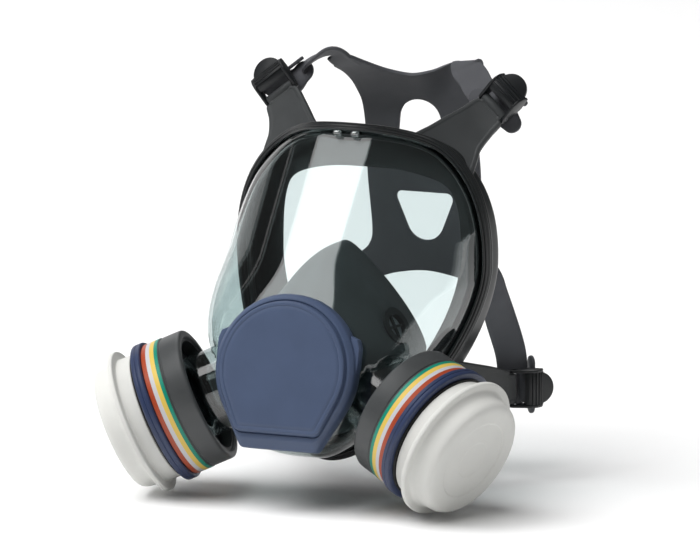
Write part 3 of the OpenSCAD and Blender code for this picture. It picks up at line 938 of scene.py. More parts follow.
@dataclass
class Form:
    """Shape that the rim, the lens and the nose cup share, in mm and degrees.

    A power or a square says how square a curve is, and a zone is the pair of heights, insets or shares
    between which one curve passes into another.
    """

    half_width: float = 86.5
    top: float = 101.0
    chin: float = 107.0
    widest: float = 14.0
    brow_power: float = 0.83
    brow_power_drop: float = 0.25
    brow_power_zone: Pair = (8.0, 28.0)
    chin_taper: float = 0.27
    chin_power: float = 1.5
    edge_depth: float = 4.5
    brow_start: float = 80.0
    brow_height: float = 17.0
    jaw_start: float = 10.0
    jaw_height: float = 116.0
    jaw_reach: float = 55.0
    jaw_power: float = 1.5
    lip_depth: float = 4.0
    lip_middle: float = 23.0
    lip_brow_fall: float = 9.0
    lip_brow_height: float = 78.0
    lip_jaw_fall: float = 24.0
    lip_jaw_height: float = 130.0
    lens_inset: float = 4.0
    lens_thickness: float = 2.4
    lens_square: float = 2.3
    low_square_gain: float = 2.7
    low_square_zone: Pair = (24.0, -31.0)
    chin_half: float = 33.0
    chin_swell: float = 0.8
    least_reach: float = 0.4
    corner_square: float = 2.41
    wall_zone: float = 12.0
    wall_loss: float = 0.7
    wall_loss_zone: Pair = (0.7, 0.97)
    bent_zone: Pair = (-60.0, -15.0)
    bow_half: float = 81.0
    bow_depth: float = 78.0
    bow_square_gain: float = 2.0
    bow_square_zone: Pair = (25.0, -45.0)
    top_reach: float = 30.0
    slope: float = 0.78
    slope_soft: float = 8.0
    valve_reach: float = 118.0
    valve_drop: float = 41.0
    valve_tilt: float = 13.3

    @property
    def valve_seat(self) -> Vector:
        """Middle of the exhalation valve."""
        return Vector((0, -self.valve_reach, -self.valve_drop))

    @property
    def valve_axis(self) -> Vector:
        """Outward axis of the exhalation valve."""
        tilt = math.radians(self.valve_tilt)
        return Vector((0, -math.cos(tilt), math.sin(tilt)))

    @property
    def valve_up(self) -> Vector:
        """Upward direction on the valve's face."""
        tilt = math.radians(self.valve_tilt)
        return Vector((0, math.sin(tilt), math.cos(tilt)))

    def rim(self, angle: float, inset: float) -> Pair:
        """Place on the rim's outline.

        Args:
            angle: Angle round the rim.
            inset: Distance by which the outline is drawn in.

        Returns:
            X and Z.
        """
        c, s = math.cos(math.radians(angle)), math.sin(math.radians(angle))
        across = self.half_width - inset
        size = abs(s)
        if s >= 0:
            power = self.brow_power - self.brow_power_drop * smoothstep(*self.brow_power_zone, inset)
            x = across * math.copysign(abs(c) ** power, c)
            return x, self.widest + (self.top - self.widest - inset) * size**power
        x = across * c * (1 - self.chin_taper * size**self.chin_power)
        return x, self.widest - (self.chin + self.widest - inset) * size

    def edge_y(self, z: float) -> float:
        """Depth of the lens's edge.

        Args:
            z: Height.

        Returns:
            Y at that height.
        """
        if z > self.brow_start:
            rise = (z - self.brow_start) / self.brow_height
            return -self.edge_depth - (self.top_reach - self.edge_depth) * rise**2
        drop = max(0.0, self.jaw_start - z) / self.jaw_height
        return -self.edge_depth - self.jaw_reach * drop**self.jaw_power

    def lip_y(self, z: float) -> float:
        """Depth of the sealing lip.

        Args:
            z: Height.

        Returns:
            Y at that height.
        """
        fall, height = self.lip_jaw_fall, self.lip_jaw_height
        if z > self.lip_middle:
            fall, height = self.lip_brow_fall, self.lip_brow_height
        return self.lip_depth - fall * ((z - self.lip_middle) / height) ** 2

    def front_y(self, z: float) -> float:
        """Depth of the lens's middle line, where the sloped window passes into the valve's face.

        Args:
            z: Height.

        Returns:
            Y at that height.
        """
        sloped = -self.top_reach - self.slope * (self.top - self.lens_inset - z)
        valve = -self.valve_reach + math.tan(math.radians(self.valve_tilt)) * (z + self.valve_drop)
        return (sloped + valve + math.hypot(sloped - valve, self.slope_soft)) / 2

    def bow(self, x: float, z: float) -> float:
        """How far the bent lens falls back beside its middle line; it is squarer low down.

        Args:
            x: Distance from the middle line.
            z: Height.

        Returns:
            Depth behind the middle line.
        """
        square = self.lens_square + self.bow_square_gain * smoothstep(*self.bow_square_zone, z)
        share = min(1.0, abs(x) / self.bow_half)
        return self.bow_depth * (1 - (1 - share**square) ** (1 / square))

    def lens_point(self, row: float, column: float) -> Vector:
        """Point of the plain lens, which rounds off evenly towards the rim.

        Args:
            row: Angle of the row, which follows the rim.
            column: Angle of the column, which goes round the row.

        Returns:
            The point.
        """
        x, z = self.rim(row, self.lens_inset)
        square = self.lens_square + self.low_square_gain * smoothstep(*self.low_square_zone, z)
        c, s = math.cos(math.radians(column)), math.sin(math.radians(column))
        radius = (abs(c) ** square + abs(s) ** square) ** (-1 / square)
        chin = min(1.0, (max(0.0, x) / self.chin_half) ** self.chin_swell) if row < 0 else 1.0
        reach = (self.edge_y(z) - self.front_y(z)) * chin
        return Vector((x * radius * c, self.edge_y(z) - max(self.least_reach, reach) * radius * s, z))

    def visor_point(self, row: float, column: float) -> Vector:
        """Point of the visible lens: a sheet bent one way, with a wall that falls back to the rim.

        Args:
            row: Angle of the row, which follows the rim.
            column: Angle of the column, which goes round the row.

        Returns:
            The point.
        """
        spot = self.lens_point(row, column)
        across, tall = self.half_width - self.lens_inset, self.top - self.widest - self.lens_inset
        if spot.z > self.widest:
            rise = (spot.z - self.widest) / tall
            power = self.corner_square
            share = max(0.02, ((abs(spot.x) / across) ** power + rise**power) ** (1 / power))
            rim_x, rim_z = spot.x / share, self.widest + rise * tall / share
            inset = (1 - share) * across
            zone = self.wall_zone * (1 - self.wall_loss * smoothstep(*self.wall_loss_zone, rise / share))
        else:
            rim_x, rim_z = self.rim(row, self.lens_inset)[0], spot.z
            inset, zone = abs(rim_x) - abs(spot.x), self.wall_zone
        fall = self.edge_y(rim_z) - self.front_y(rim_z) - self.bow(rim_x, rim_z)
        near = 1 - min(1.0, max(0.0, inset / zone))
        bent = self.front_y(spot.z) + self.bow(spot.x, spot.z) + fall * (1 - math.sqrt(1 - near * near))
        return Vector((spot.x, spot.y + (bent - spot.y) * smoothstep(*self.bent_zone, spot.z), spot.z))


def open_hole(mesh: bmesh.types.BMesh, seat: Vector, axis: Vector, radius: float, reach: Pair) -> None:
    """Cuts a round hole through a skin and draws its border to a true circle.

    Args:
        mesh: Mesh in mm.
        seat: Point on the hole's axis.
        axis: Direction of the axis.
        radius: Radius of the hole.
        reach: Places on the axis between which the skin is cut.
    """
    slack, apron, eased, factor, rounds = 0.4, 6.0, 4.0, 0.3, 3

    def offset(co: Vector) -> tuple[float, Vector]:
        """Place of a point on the axis, and the vector to it from the axis.

        Args:
            co: The point.

        Returns:
            The place and the vector.
        """
        arm = co - seat
        along = arm.dot(axis)
        return along, arm - axis * along

    near = []
    for vert in mesh.verts:
        along, arm = offset(vert.co)
        if reach[0] < along < reach[1] and arm.length < radius + apron:
            near.append((vert, arm))
    cut = [v for v, arm in near if arm.length < radius - slack]
    kept = [v for v, arm in near if arm.length >= radius - slack]
    bmesh.ops.delete(mesh, geom=cut, context="VERTS")
    rim = [v for v in kept if v.is_valid and v.is_boundary]
    for vert in rim:
        _, arm = offset(vert.co)
        vert.co += arm.normalized() * (radius - arm.length)
    border, limit = set(rim), radius + eased
    for _ in range(rounds):
        inner = [v for v in kept if v.is_valid and v not in border and offset(v.co)[1].length < limit]
        relax(mesh, inner, factor)


@dataclass
class Visor(Assembly):
    """Clear lens with its port and valve openings, and the two lugs at its top, in mm and degrees."""

    form: Form
    rows: int = 110
    columns: int = 150
    top_row: float = 87.0
    row_span: float = 176.2
    port_r: float = 25.95
    port_cut: Pair = (-34.0, 6.0)
    valve_r: float = 30.1
    valve_cut: Pair = (-14.0, 14.0)
    lug_size: Point = (5.0, 3.0, 4.0)
    lug_soft: float = 1.1
    lug_at: Point = (6.0, -34.0, 95.2)
    lug_axis: Point = (0, -0.78, 0.62)

    def build(self) -> None:
        """Makes the lens and its lugs."""
        mesh = weave(
            self.rows, self.columns,
            lambda i, j: self.form.visor_point(
                self.top_row - self.row_span * i / self.rows, 180 - 180 * j / self.columns))
        front = min(mesh.faces, key=lambda f: f.calc_center_median().y)
        if front.normal.y > 0:
            bmesh.ops.reverse_faces(mesh, faces=mesh.faces[:])
        for side in Side:
            seat, axis = mirrored(FILTER_SEAT, side), mirrored(FILTER_AXIS, side)
            open_hole(mesh, seat, axis, self.port_r, self.port_cut)
        open_hole(mesh, self.form.valve_seat, self.form.valve_axis, self.valve_r, self.valve_cut)
        lens = self.add("lens_skin", mesh, LENS_FINISH, Slot.LENS, "mask", ["visor_lens"])
        wall = lens.modifiers.new("wall", "SOLIDIFY")
        wall.thickness = self.form.lens_thickness * MM
        wall.offset = -1
        self.add("lens_lugs", joined([self.lug(side) for side in Side]), LUG_FINISH, Slot.LENS, "mask")

    def lug(self, side: Side) -> bmesh.types.BMesh:
        """Small rounded block at the lens's top edge.

        Args:
            side: Side of the block.

        Returns:
            The mesh.
        """
        mesh = bmesh.new()
        bmesh.ops.create_cube(mesh, size=1.0)
        bmesh.ops.scale(mesh, verts=mesh.verts[:], vec=self.lug_size)
        soften(mesh, mesh.edges[:], self.lug_soft, 3)
        return moved(mesh, axis_matrix(mirrored(Vector(self.lug_at), side), Vector(self.lug_axis)))


@dataclass(frozen=True)
class BuckleFrame:
    """Place of a right-hand buckle: its pin, the pin's direction and the direction it reaches in, in mm."""

    pin: Vector
    along: Vector
    reach: Vector

    @property
    def matrix(self) -> Matrix:
        """Frame with X along the reach, Y along the pin and Z out of the face."""
        face = self.reach.cross(self.along)
        return Matrix.Translation(self.pin) @ Matrix((self.reach, self.along, face)).transposed().to_4x4()


_UPPER_PIN = Vector((-0.76, 0.19, 0.62)).normalized()
UPPER_FRAME = BuckleFrame(
    Vector((73.5, 29, 107.5)), _UPPER_PIN, square_to(Vector((0.7, 0.37, 0.61)), _UPPER_PIN))
LOWER_FRAME = BuckleFrame(
    Vector((85, 35, -72)), Vector((0, 0, 1)), Vector((0.72, 0.69, 0)).normalized())


def buckle_frame(level: Level) -> BuckleFrame:
    """Frame of a level's right-hand buckle."""
    return UPPER_FRAME if level is Level.UPPER else LOWER_FRAME


@dataclass
class FaceBlank(Assembly):
    """Rubber rim with fine ridges, its sealing lip and the four strap tabs, in mm."""

    form: Form
    stations: int = 180
    lip_width: float = 25.5
    lip_drop: float = 5.5
    lip_drop_zone: Pair = (0.5, 1.0)
    crown_zone: Pair = (0.75, 0.97)
    crown_loss: float = 0.3
    tab_thickness: float = 4.0
    tab_end: float = 19.6
    barrel_r: float = 3.2
    barrel_soft: float = 0.5

    def section(self, edge: float, lip: float, crown: float, wide: float) -> list[list[float]]:
        """Section of the rim, from the lens's edge over the ridges of its outer face to the lip and back.

        Args:
            edge: Depth of the lens's edge.
            lip: Depth of the sealing lip.
            crown: Share by which the place belongs to the top of the rim.
            wide: Width of the lip.

        Returns:
            Inset and depth of each point.
        """
        groove = self.form.lens_inset - 0.2
        slot = self.form.lens_inset + self.form.lens_thickness
        stand = 1 - self.crown_loss * crown
        ridges = [
            [groove, edge - 6 * stand], [3.2, edge - 7.6 * stand], [2.3, edge - 7.9 * stand],
            [1.7, edge - 7.0 * stand], [1.6, edge - 6.6 * stand], [1.0, edge - 6.9 * stand],
            [0.3, edge - 6.0 * stand], [0.4, edge - 5.0 * stand], [-0.3, edge - 4.6 * stand],
            [-0.8, edge - 3.4], [-0.4, edge - 2.2], [-0.8, edge - 1.5], [-0.7, edge - 0.4]]
        flank = [
            [0.0, edge + 1.0], [0.9 + 1.6 * crown, edge + 2], [4.4 * crown, lip + 1],
            [1.5 + 4.4 * crown, lip + 4.5], [4 + 4 * crown, lip + 6]]
        seal = [
            [12 + crown, lip + 5.5], [20, lip + 3.7], [wide - 1, lip + 2.1], [wide, lip + 1.5],
            [wide + 0.1, lip + 1.1], [wide - 0.8, lip + 0.7], [20, lip + 1.8], [12 + crown, lip + 3]]
        back = [
            [5 + 4 * crown, lip + 2.6], [3.5 + 4 * crown, lip], [3.2 + 2 * crown, edge + 3],
            [slot + 0.2, edge + 2], [slot + 2.6, edge - 1 + 2.4 * crown],
            [slot + 2.1, edge - 5 + 5.5 * crown], [slot + 0.3, edge - 5.5 + 5.5 * crown],
            [slot + 0.3, edge + 0.6], [groove, edge + 0.6]]
        return ridges + flank + seal + back

    def build(self) -> None:
        """Makes the rim and the tabs."""
        rings = []
        for i in range(self.stations):
            angle = 360 * (i + 0.5) / self.stations
            z = self.form.rim(angle, self.form.lens_inset)[1]
            rise = math.sin(math.radians(angle))
            crown = smoothstep(*self.crown_zone, rise)
            wide = self.lip_width + self.lip_drop * smoothstep(*self.lip_drop_zone, rise)
            corners = self.section(self.form.edge_y(z), self.form.lip_y(z), crown, wide)
            ring = []
            for inset, y in smooth_line(corners, 4, closed=True):
                x, height = self.form.rim(angle, inset)
                ring.append(Vector((x, y, height)))
            rings.append(ring)
        count = len(rings[0])
        mesh = weave(self.stations, count, lambda i, j: rings[i % self.stations][j % count])
        self.add("face_rim", mesh, RIM_FINISH, Slot.FACE, "mask", ["facepiece_skirt"], crease=60)
        for level in Level:
            for side in Side:
                self.build_tab(level, side)

    def tab_stops(self, level: Level) -> list[Stop]:
        """Route of a right-hand tab from inside the rim to its pin.

        Args:
            level: Level of the tab.

        Returns:
            Places on the route.
        """
        t = self.tab_thickness
        place = buckle_frame(level)
        across = tuple(place.along)
        end = Stop(tuple(place.pin), across, self.tab_end, t)
        if level is Level.UPPER:
            return [
                Stop((51.5, -3.4, 79.2), (-0.72, 0.2, 0.66), 49, t),
                Stop((54.4, 2, 84.2), (-0.72, 0.2, 0.66), 42, t),
                Stop((58.5, 10, 91), (-0.73, 0.2, 0.66), 33.5, t),
                Stop((65, 20, 98.5), (-0.75, 0.2, 0.64), 27.5, t),
                Stop((70.4, 25.8, 104.2), (-0.76, 0.19, 0.62), 25, t),
                Stop((71.5, 26.9, 105.3), across, 20, t), end]
        return [
            Stop((52, -25, -64), (0.3, 0.2, 0.93), 42, t),
            Stop((58, -15, -65.5), (0.25, 0.15, 0.95), 38, t),
            Stop((65, -1, -67), (0.12, 0.1, 1), 33, t),
            Stop((74, 15, -69), (0.05, 0, 1), 28, t),
            Stop((79.8, 25.6, -71.2), across, 25.2, t),
            Stop((81.8, 29.0, -72), across, 24.5, t),
            Stop((82.9, 30.9, -72), across, 20, t), end]

    def build_tab(self, level: Level, side: Side) -> None:
        """Makes one strap tab with its barrel round the pin.

        Args:
            level: Level of the tab.
            side: Side of the tab.
        """
        strip = sweep(self.tab_stops(level), 8, 0.8, 0.35)
        barrel = rod(self.barrel_r, self.tab_end, 40)
        soften(barrel, level_edges(barrel), self.barrel_soft)
        place = buckle_frame(level)
        moved(barrel, axis_matrix(place.pin, place.along))
        mesh = turned(joined([strip, barrel]), side)
        self.add(f"strap_tab_{level.value}_{side.word}", mesh, TAB_FINISH, Slot.FACE, "mask")

    def dress(self) -> None:
        """Finishes the pins in the tabs."""
        for level in Level:
            for side in Side:
                self.coat(f"buckle_pin_{level.value}_{side.word}", STEEL_FINISH)


@dataclass
class NoseCup(Assembly):
    """Rubber cup over the nose and mouth, with its two inhalation valves, in mm."""

    form: Form
    turns: int = 108
    bands: int = 28
    wall: float = 2.0
    half_width: float = 50.0
    back_y: float = -24.0
    middle_z: float = -38.0
    nose_height: float = 66.0
    nose_lean: float = 12.0
    nose_taper: float = 0.6
    nose_power: float = 1.2
    chin_height: float = 42.0
    chin_lean: float = 22.0
    chin_taper: float = 0.15
    bulge: float = 13.0
    bulge_loss: float = 0.65
    bulge_loss_zone: Pair = (0.1, 0.8)
    bulge_lean: float = 0.35
    tube_r: float = 30.0
    tube_gap: float = 5.5
    valve_r: float = 10.05
    valve_cut: Pair = (-12.0, 12.0)
    valve_seat: Point = (44.5, -61, -20)
    valve_axis: Point = (0.88, -0.12, 0.46)

    def point(self, angle: float, share: float, depth: float) -> Vector:
        """Point of the cup.

        Args:
            angle: Angle round the cup, in degrees.
            share: Share of the way from the face to the valve.
            depth: Depth in the wall.

        Returns:
            The point.
        """
        c, s = math.cos(math.radians(angle)), math.sin(math.radians(angle))
        size = abs(s)
        if s > 0:
            taper = 1 - self.nose_taper * size**self.nose_power
            lean, height = self.nose_lean, self.nose_height
        else:
            taper, lean, height = 1 - self.chin_taper * size**2, self.chin_lean, self.chin_height
        face = Vector((
            self.half_width * c * taper, self.back_y - lean * size**2, self.middle_z + height * s))
        front = self.form.valve_seat - self.form.valve_axis * self.tube_gap + (
            Vector((c, 0, 0)) + self.form.valve_up * s) * self.tube_r
        out = Vector((c * (1 - self.bulge_loss * smoothstep(*self.bulge_loss_zone, s)), -self.bulge_lean, s))
        return face.lerp(front, share) + out * (self.bulge * math.sin(math.pi * max(0.0, share)) - depth)

    def build(self) -> None:
        """Makes the cup and opens its two valve holes."""
        wall = [(j / self.bands, 0.0) for j in range(self.bands + 1)]
        wall += [(1.004, self.wall / 2)]
        wall += [(j / self.bands, self.wall) for j in range(self.bands, -1, -1)]
        wall += [(-0.012, self.wall * 0.8), (-0.018, self.wall / 2), (-0.012, self.wall * 0.2)]
        count = len(wall)
        mesh = weave(
            self.turns, count,
            lambda i, j: self.point(360 * (i % self.turns) / self.turns, *wall[j % count]))
        for side in Side:
            seat = mirrored(Vector(self.valve_seat), side)
            axis = mirrored(Vector(self.valve_axis).normalized(), side)
            open_hole(mesh, seat, axis, self.valve_r, self.valve_cut)
            bmesh.ops.bridge_loops(mesh, edges=[e for e in mesh.edges if e.is_boundary])
        bmesh.ops.recalc_face_normals(mesh, faces=mesh.faces[:])
        self.add("nose_cup_skin", mesh, CUP_FINISH, Slot.CUP, "mask", ["nose_cup"], crease=50)

    def dress(self) -> None:
        """Finishes the cup's valve seats and flaps."""
        for side in Side:
            self.coat(f"cup_valve_seat_{side.word}", DARK_FINISH)
            self.coat(f"cup_valve_flap_{side.word}", SILICONE_FINISH)


@dataclass(frozen=True)
class CoverPlan:
    """Outline of the cover at one height: round top, straight sides and flat foot, in mm."""

    radius: float
    half_foot: float
    foot: float
    corner: float

    def drawn(self, inset: float) -> "CoverPlan":
        """The same outline drawn in by an inset."""
        corner = max(1.0, self.corner - inset)
        return CoverPlan(self.radius - inset, self.half_foot - inset, self.foot - inset, corner)

    def outline(self, count: int) -> list[Vector]:
        """Points of the outline at even angles.

        Args:
            count: Number of points.

        Returns:
            The points.
        """
        x, y = self.half_foot - self.corner, self.corner - self.foot
        hull = hull_outline([(0, 0, self.radius), (x, y, self.corner), (-x, y, self.corner)])
        spots = ray_outline(hull, count)
        return [p * min(1.0, self.foot / max(TINY, -p.y)) if p.y < 0 else p for p in spots]


@dataclass
class ExhalationValve(Assembly):
    """Blue cover with its raised panel, over the valve's housing and flap, in mm."""

    form: Form
    points: int = 240
    inner: CoverPlan = CoverPlan(40.4, 24, 37, 6)
    step: CoverPlan = CoverPlan(44.6, 24.6, 47.5, 4)
    outer: CoverPlan = CoverPlan(47, 27, 50, 4)
    brow: CoverPlan = CoverPlan(44, 28, 44, 5)
    panel: CoverPlan = CoverPlan(42.3, 30, 40.2, 6)
    lug_x: float = 48.3
    lug_low: float = 2.0
    lug_high: float = 24.0

    def layers(self) -> list[tuple[CoverPlan, float, float]]:
        """Outlines of the cover's skin, from its hollow back round its edge to its panel.

        Returns:
            Each outline with the share that it is scaled by and its height.
        """
        inner, step, outer, brow, panel = self.inner, self.step, self.outer, self.brow, self.panel
        hollow = [
            (inner, 0.02, 12.4), (inner, 0.6, 12.4), (inner.drawn(0.6), 1, 12.4), (inner, 1, 11.8),
            (inner, 1, 9.2), (step.drawn(0.4), 1, 9.0), (step, 1, 8.6), (step, 1, 1.0)]
        edge = [
            (outer.drawn(1.9), 1, 0.5), (outer.drawn(0.7), 1, 0.5), (outer.drawn(0.2), 1, 0.7),
            (outer, 1, 1.2), (outer, 1, 8.8), (outer.drawn(0.2), 1, 9.7), (outer.drawn(0.7), 1, 10.4),
            (brow.drawn(-1.0), 1, 11.9), (brow.drawn(-0.4), 1, 12.4), (brow.drawn(0.2), 1, 12.6)]
        groove = [
            (panel.drawn(-0.9), 1, 12.6), (panel.drawn(-0.7), 1, 12.4), (panel.drawn(-0.4), 1, 12.1),
            (panel.drawn(-0.15), 1, 12.3), (panel, 1, 12.7)]
        face = [
            (panel.drawn(0.1), 1, 14.4), (panel.drawn(0.4), 1, 15.1), (panel.drawn(1.0), 1, 15.5),
            (panel.drawn(1.8), 1, 15.6), (panel.drawn(2.6), 1, 15.6), (panel.drawn(3.0), 1, 15.35),
            (panel.drawn(3.5), 1, 15.35), (panel.drawn(3.9), 1, 15.6), (panel.drawn(6), 1, 15.65),
            (panel, 0.7, 15.9), (panel, 0.45, 16.1), (panel, 0.2, 16.2), (panel, 0.02, 16.25)]
        return hollow + edge + groove + face

    def lug(self, side: Side) -> bmesh.types.BMesh:
        """Lug on one side of the cover.

        Args:
            side: Side of the lug.

        Returns:
            The mesh.
        """
        x, low, high = self.lug_x, self.lug_low, self.lug_high
        outline = [
            (44.0, low - 6), (x - 1.2, low - 1), (x - 0.4, low + 3),
            (x - 0.4, high - 7), (x - 2.2, high - 2), (41.0, high)]
        return turned(slab(outline, 0.7, 8.0, 1.2), side)

    def build(self) -> None:
        """Makes the cover as one closed skin with its two lugs."""
        rings = [
            [Vector((p.x * size, p.y * size, height)) for p in plan.outline(self.points)]
            for plan, size, height in self.layers()]
        skin = close_ends(weave(len(rings) - 1, self.points, lambda i, j: rings[i][j % self.points]))
        mesh = joined([skin, *(self.lug(side) for side in Side)])
        moved(mesh, axis_matrix(self.form.valve_seat, self.form.valve_axis, self.form.valve_up))
        self.add("cover_skin", mesh, COVER_FINISH, Slot.COVER, "mask", ["exhalation_cover"], crease=32)

    def dress(self) -> None:
        """Finishes the housing and the flap behind the cover."""
        self.coat("exhalation_housing", DARK_FINISH)
        self.coat("exhalation_flap", SILICONE_FINISH)


@dataclass
class FilterUnit(Assembly):
    """One side's port, canister, striped band, adapter ring and particle filter, in mm along its axis."""

    side: Side
    canister_r: float = 43.0
    canister_length: float = 26.0
    canister_wall: float = 2.0
    canister_bore: float = 38.2
    canister_floor: float = 2.4
    groove_start: float = 12.9
    groove_depth: float = 0.5
    band_r: float = 43.35
    band_gap: float = 0.05
    adapter_r: float = 45.3
    adapter_bore: float = 30.1
    adapter_start: float = 26.2
    adapter_end: float = 33.0
    neck_r: float = 30.0
    neck_bore: float = 27.5
    neck_start: float = 27.4
    housing_start: float = 34.7
    drum_r: float = 40.8
    flange_r: float = 46.6
    flange_start: float = 44.6
    flange_end: float = 48.0
    face_r: float = 40.0
    face_end: float = 62.0
    dimple_r: float = 25.6
    button_r: float = 11.8
    shell: float = 1.8
    middle: float = 0.02

    @property
    def matrix(self) -> Matrix:
        """Frame of the filter, with Z along its axis."""
        return axis_matrix(mirrored(FILTER_SEAT, self.side), mirrored(FILTER_AXIS, self.side))

    def round_piece(
        self, name: str, corners: Sequence[Point], finish: Finish, slot: Slot, body: str, node: str,
    ) -> None:
        """Makes a round piece from a rounded profile.

        Args:
            name: Name of the piece.
            corners: Radius, height and rounding of each corner.
            finish: Finish of the piece.
            slot: Material slot of the record.
            body: Body that it rides on.
            node: CAD node that it stands for.
        """
        mesh = moved(lathe(rounded_path(corners)), self.matrix)
        word = self.side.word
        self.add(f"{name}_{word}", mesh, finish, slot, f"{body}_{word}", [f"{node}_{word}"])

    def canister(self) -> list[Point]:
        """Profile of the canister's shell, with a groove before its band.

        Returns:
            Radius, height and rounding of each corner.
        """
        r, end, bore = self.canister_r, self.canister_length, self.canister_bore
        wall, floor = r - self.canister_wall, self.canister_floor
        start, deep = self.groove_start, r - self.groove_depth
        return [
            (bore, 0.4, 0.5), (bore + 0.8, 0.0, 0.5), (r, 0.0, 2.4), (r, start, 0.3),
            (deep, start + 0.3, 0.3), (deep, start + 1.0, 0.3), (r, start + 1.3, 0.3),
            (r, end, 0.4), (wall, end, 0.3), (wall, floor, 0.5), (bore, floor, 0.3)]

    def band(self) -> list[Point]:
        """Profile of the striped band.

        Returns:
            Radius, height and rounding of each corner.
        """
        inner, outer = self.canister_r + self.band_gap, self.band_r
        start, end = BAND_START, BAND_START + BAND_LENGTH
        return [(inner, start, 0), (outer, start, 0.15), (outer, end, 0.15), (inner, end, 0)]

    def adapter(self) -> list[Point]:
        """Profile of the adapter ring, with a groove round it.

        Returns:
            Radius, height and rounding of each corner.
        """
        low, high, wide, bore = self.adapter_start, self.adapter_end, self.adapter_r, self.adapter_bore
        return [
            (bore, low, 0.4), (wide, low, 1.8), (wide, low + 2.9, 0.3), (wide - 0.5, low + 3.3, 0.3),
            (wide, low + 3.7, 0.3), (wide, high - 0.4, 2.6), (wide - 2.8, high, 0.8), (bore, high, 0.4)]

    def particle_filter(self) -> list[Point]:
        """Profile of the particle filter: neck, drum, flange and stepped face, and back inside its shell.

        Returns:
            Radius, height and rounding of each corner.
        """
        start, flange, top = self.housing_start, self.flange_end, self.face_end
        face, drum, edge, shell = self.face_r, self.drum_r, self.flange_r, self.shell
        dimple, button = self.dimple_r, self.button_r
        neck = [
            (self.neck_bore, self.neck_start, 0.3), (self.neck_r, self.neck_start, 0.3),
            (self.neck_r, start, 0.3)]
        outside = [
            (drum, start, 1.2), (drum, self.flange_start, 0.8), (edge, self.flange_start, 1.2),
            (edge, flange, 1.2), (face + 1.6, flange, 1.2), (face + 0.1, flange + 3, 1.5),
            (face - 0.6, top - 3.4, 3), (face - 3.2, top, 3.6), (dimple + 1.0, top + 0.1, 0.6),
            (dimple, top - 0.8, 0.6), (button + 0.6, top - 0.6, 0.5), (button, top - 0.95, 0.5),
            (self.middle, top - 0.9, 0)]
        within = [
            (self.middle, top - 2.6, 0), (24, top - 2.6, 0.4), (face - 5, top - 1.9, 0.4),
            (face - 1.8, top - 4, 0.4), (face - 1.7, flange, 0.4), (drum - shell, flange - 1.6, 0.3),
            (drum - shell, start + shell, 0.3), (self.neck_bore, start + shell, 0.3)]
        return neck + outside + within

    def build(self) -> None:
        """Makes the round pieces."""
        self.round_piece(
            "canister_skin", self.canister(), SHELL_FINISH, Slot.SHELL, "filter", "canister_body")
        self.round_piece("band_skin", self.band(), STRIPE_FINISH, Slot.BAND, "filter", "label_band")
        self.round_piece("adapter_skin", self.adapter(), RING_FINISH, Slot.RING, "filter", "adapter_ring")
        self.round_piece(
            "prefilter_skin", self.particle_filter(), WHITE_FINISH, Slot.WHITE, "prefilter",
            "prefilter_housing")

    def dress(self) -> None:
        """Finishes the port, the seals and what lies inside."""
        finishes = {
            "filter_port": PORT_FINISH, "port_gasket": SILICONE_FINISH, "inhalation_flap": SILICONE_FINISH,
            "canister_base": BASE_FINISH, "charcoal_bed": CHARCOAL_FINISH, "canister_screens": SCREEN_FINISH,
            "prefilter_gasket": GASKET_FINISH, "prefilter_media": FELT_FINISH}
        for node, finish in finishes.items():
            self.coat(f"{node}_{self.side.word}", finish)


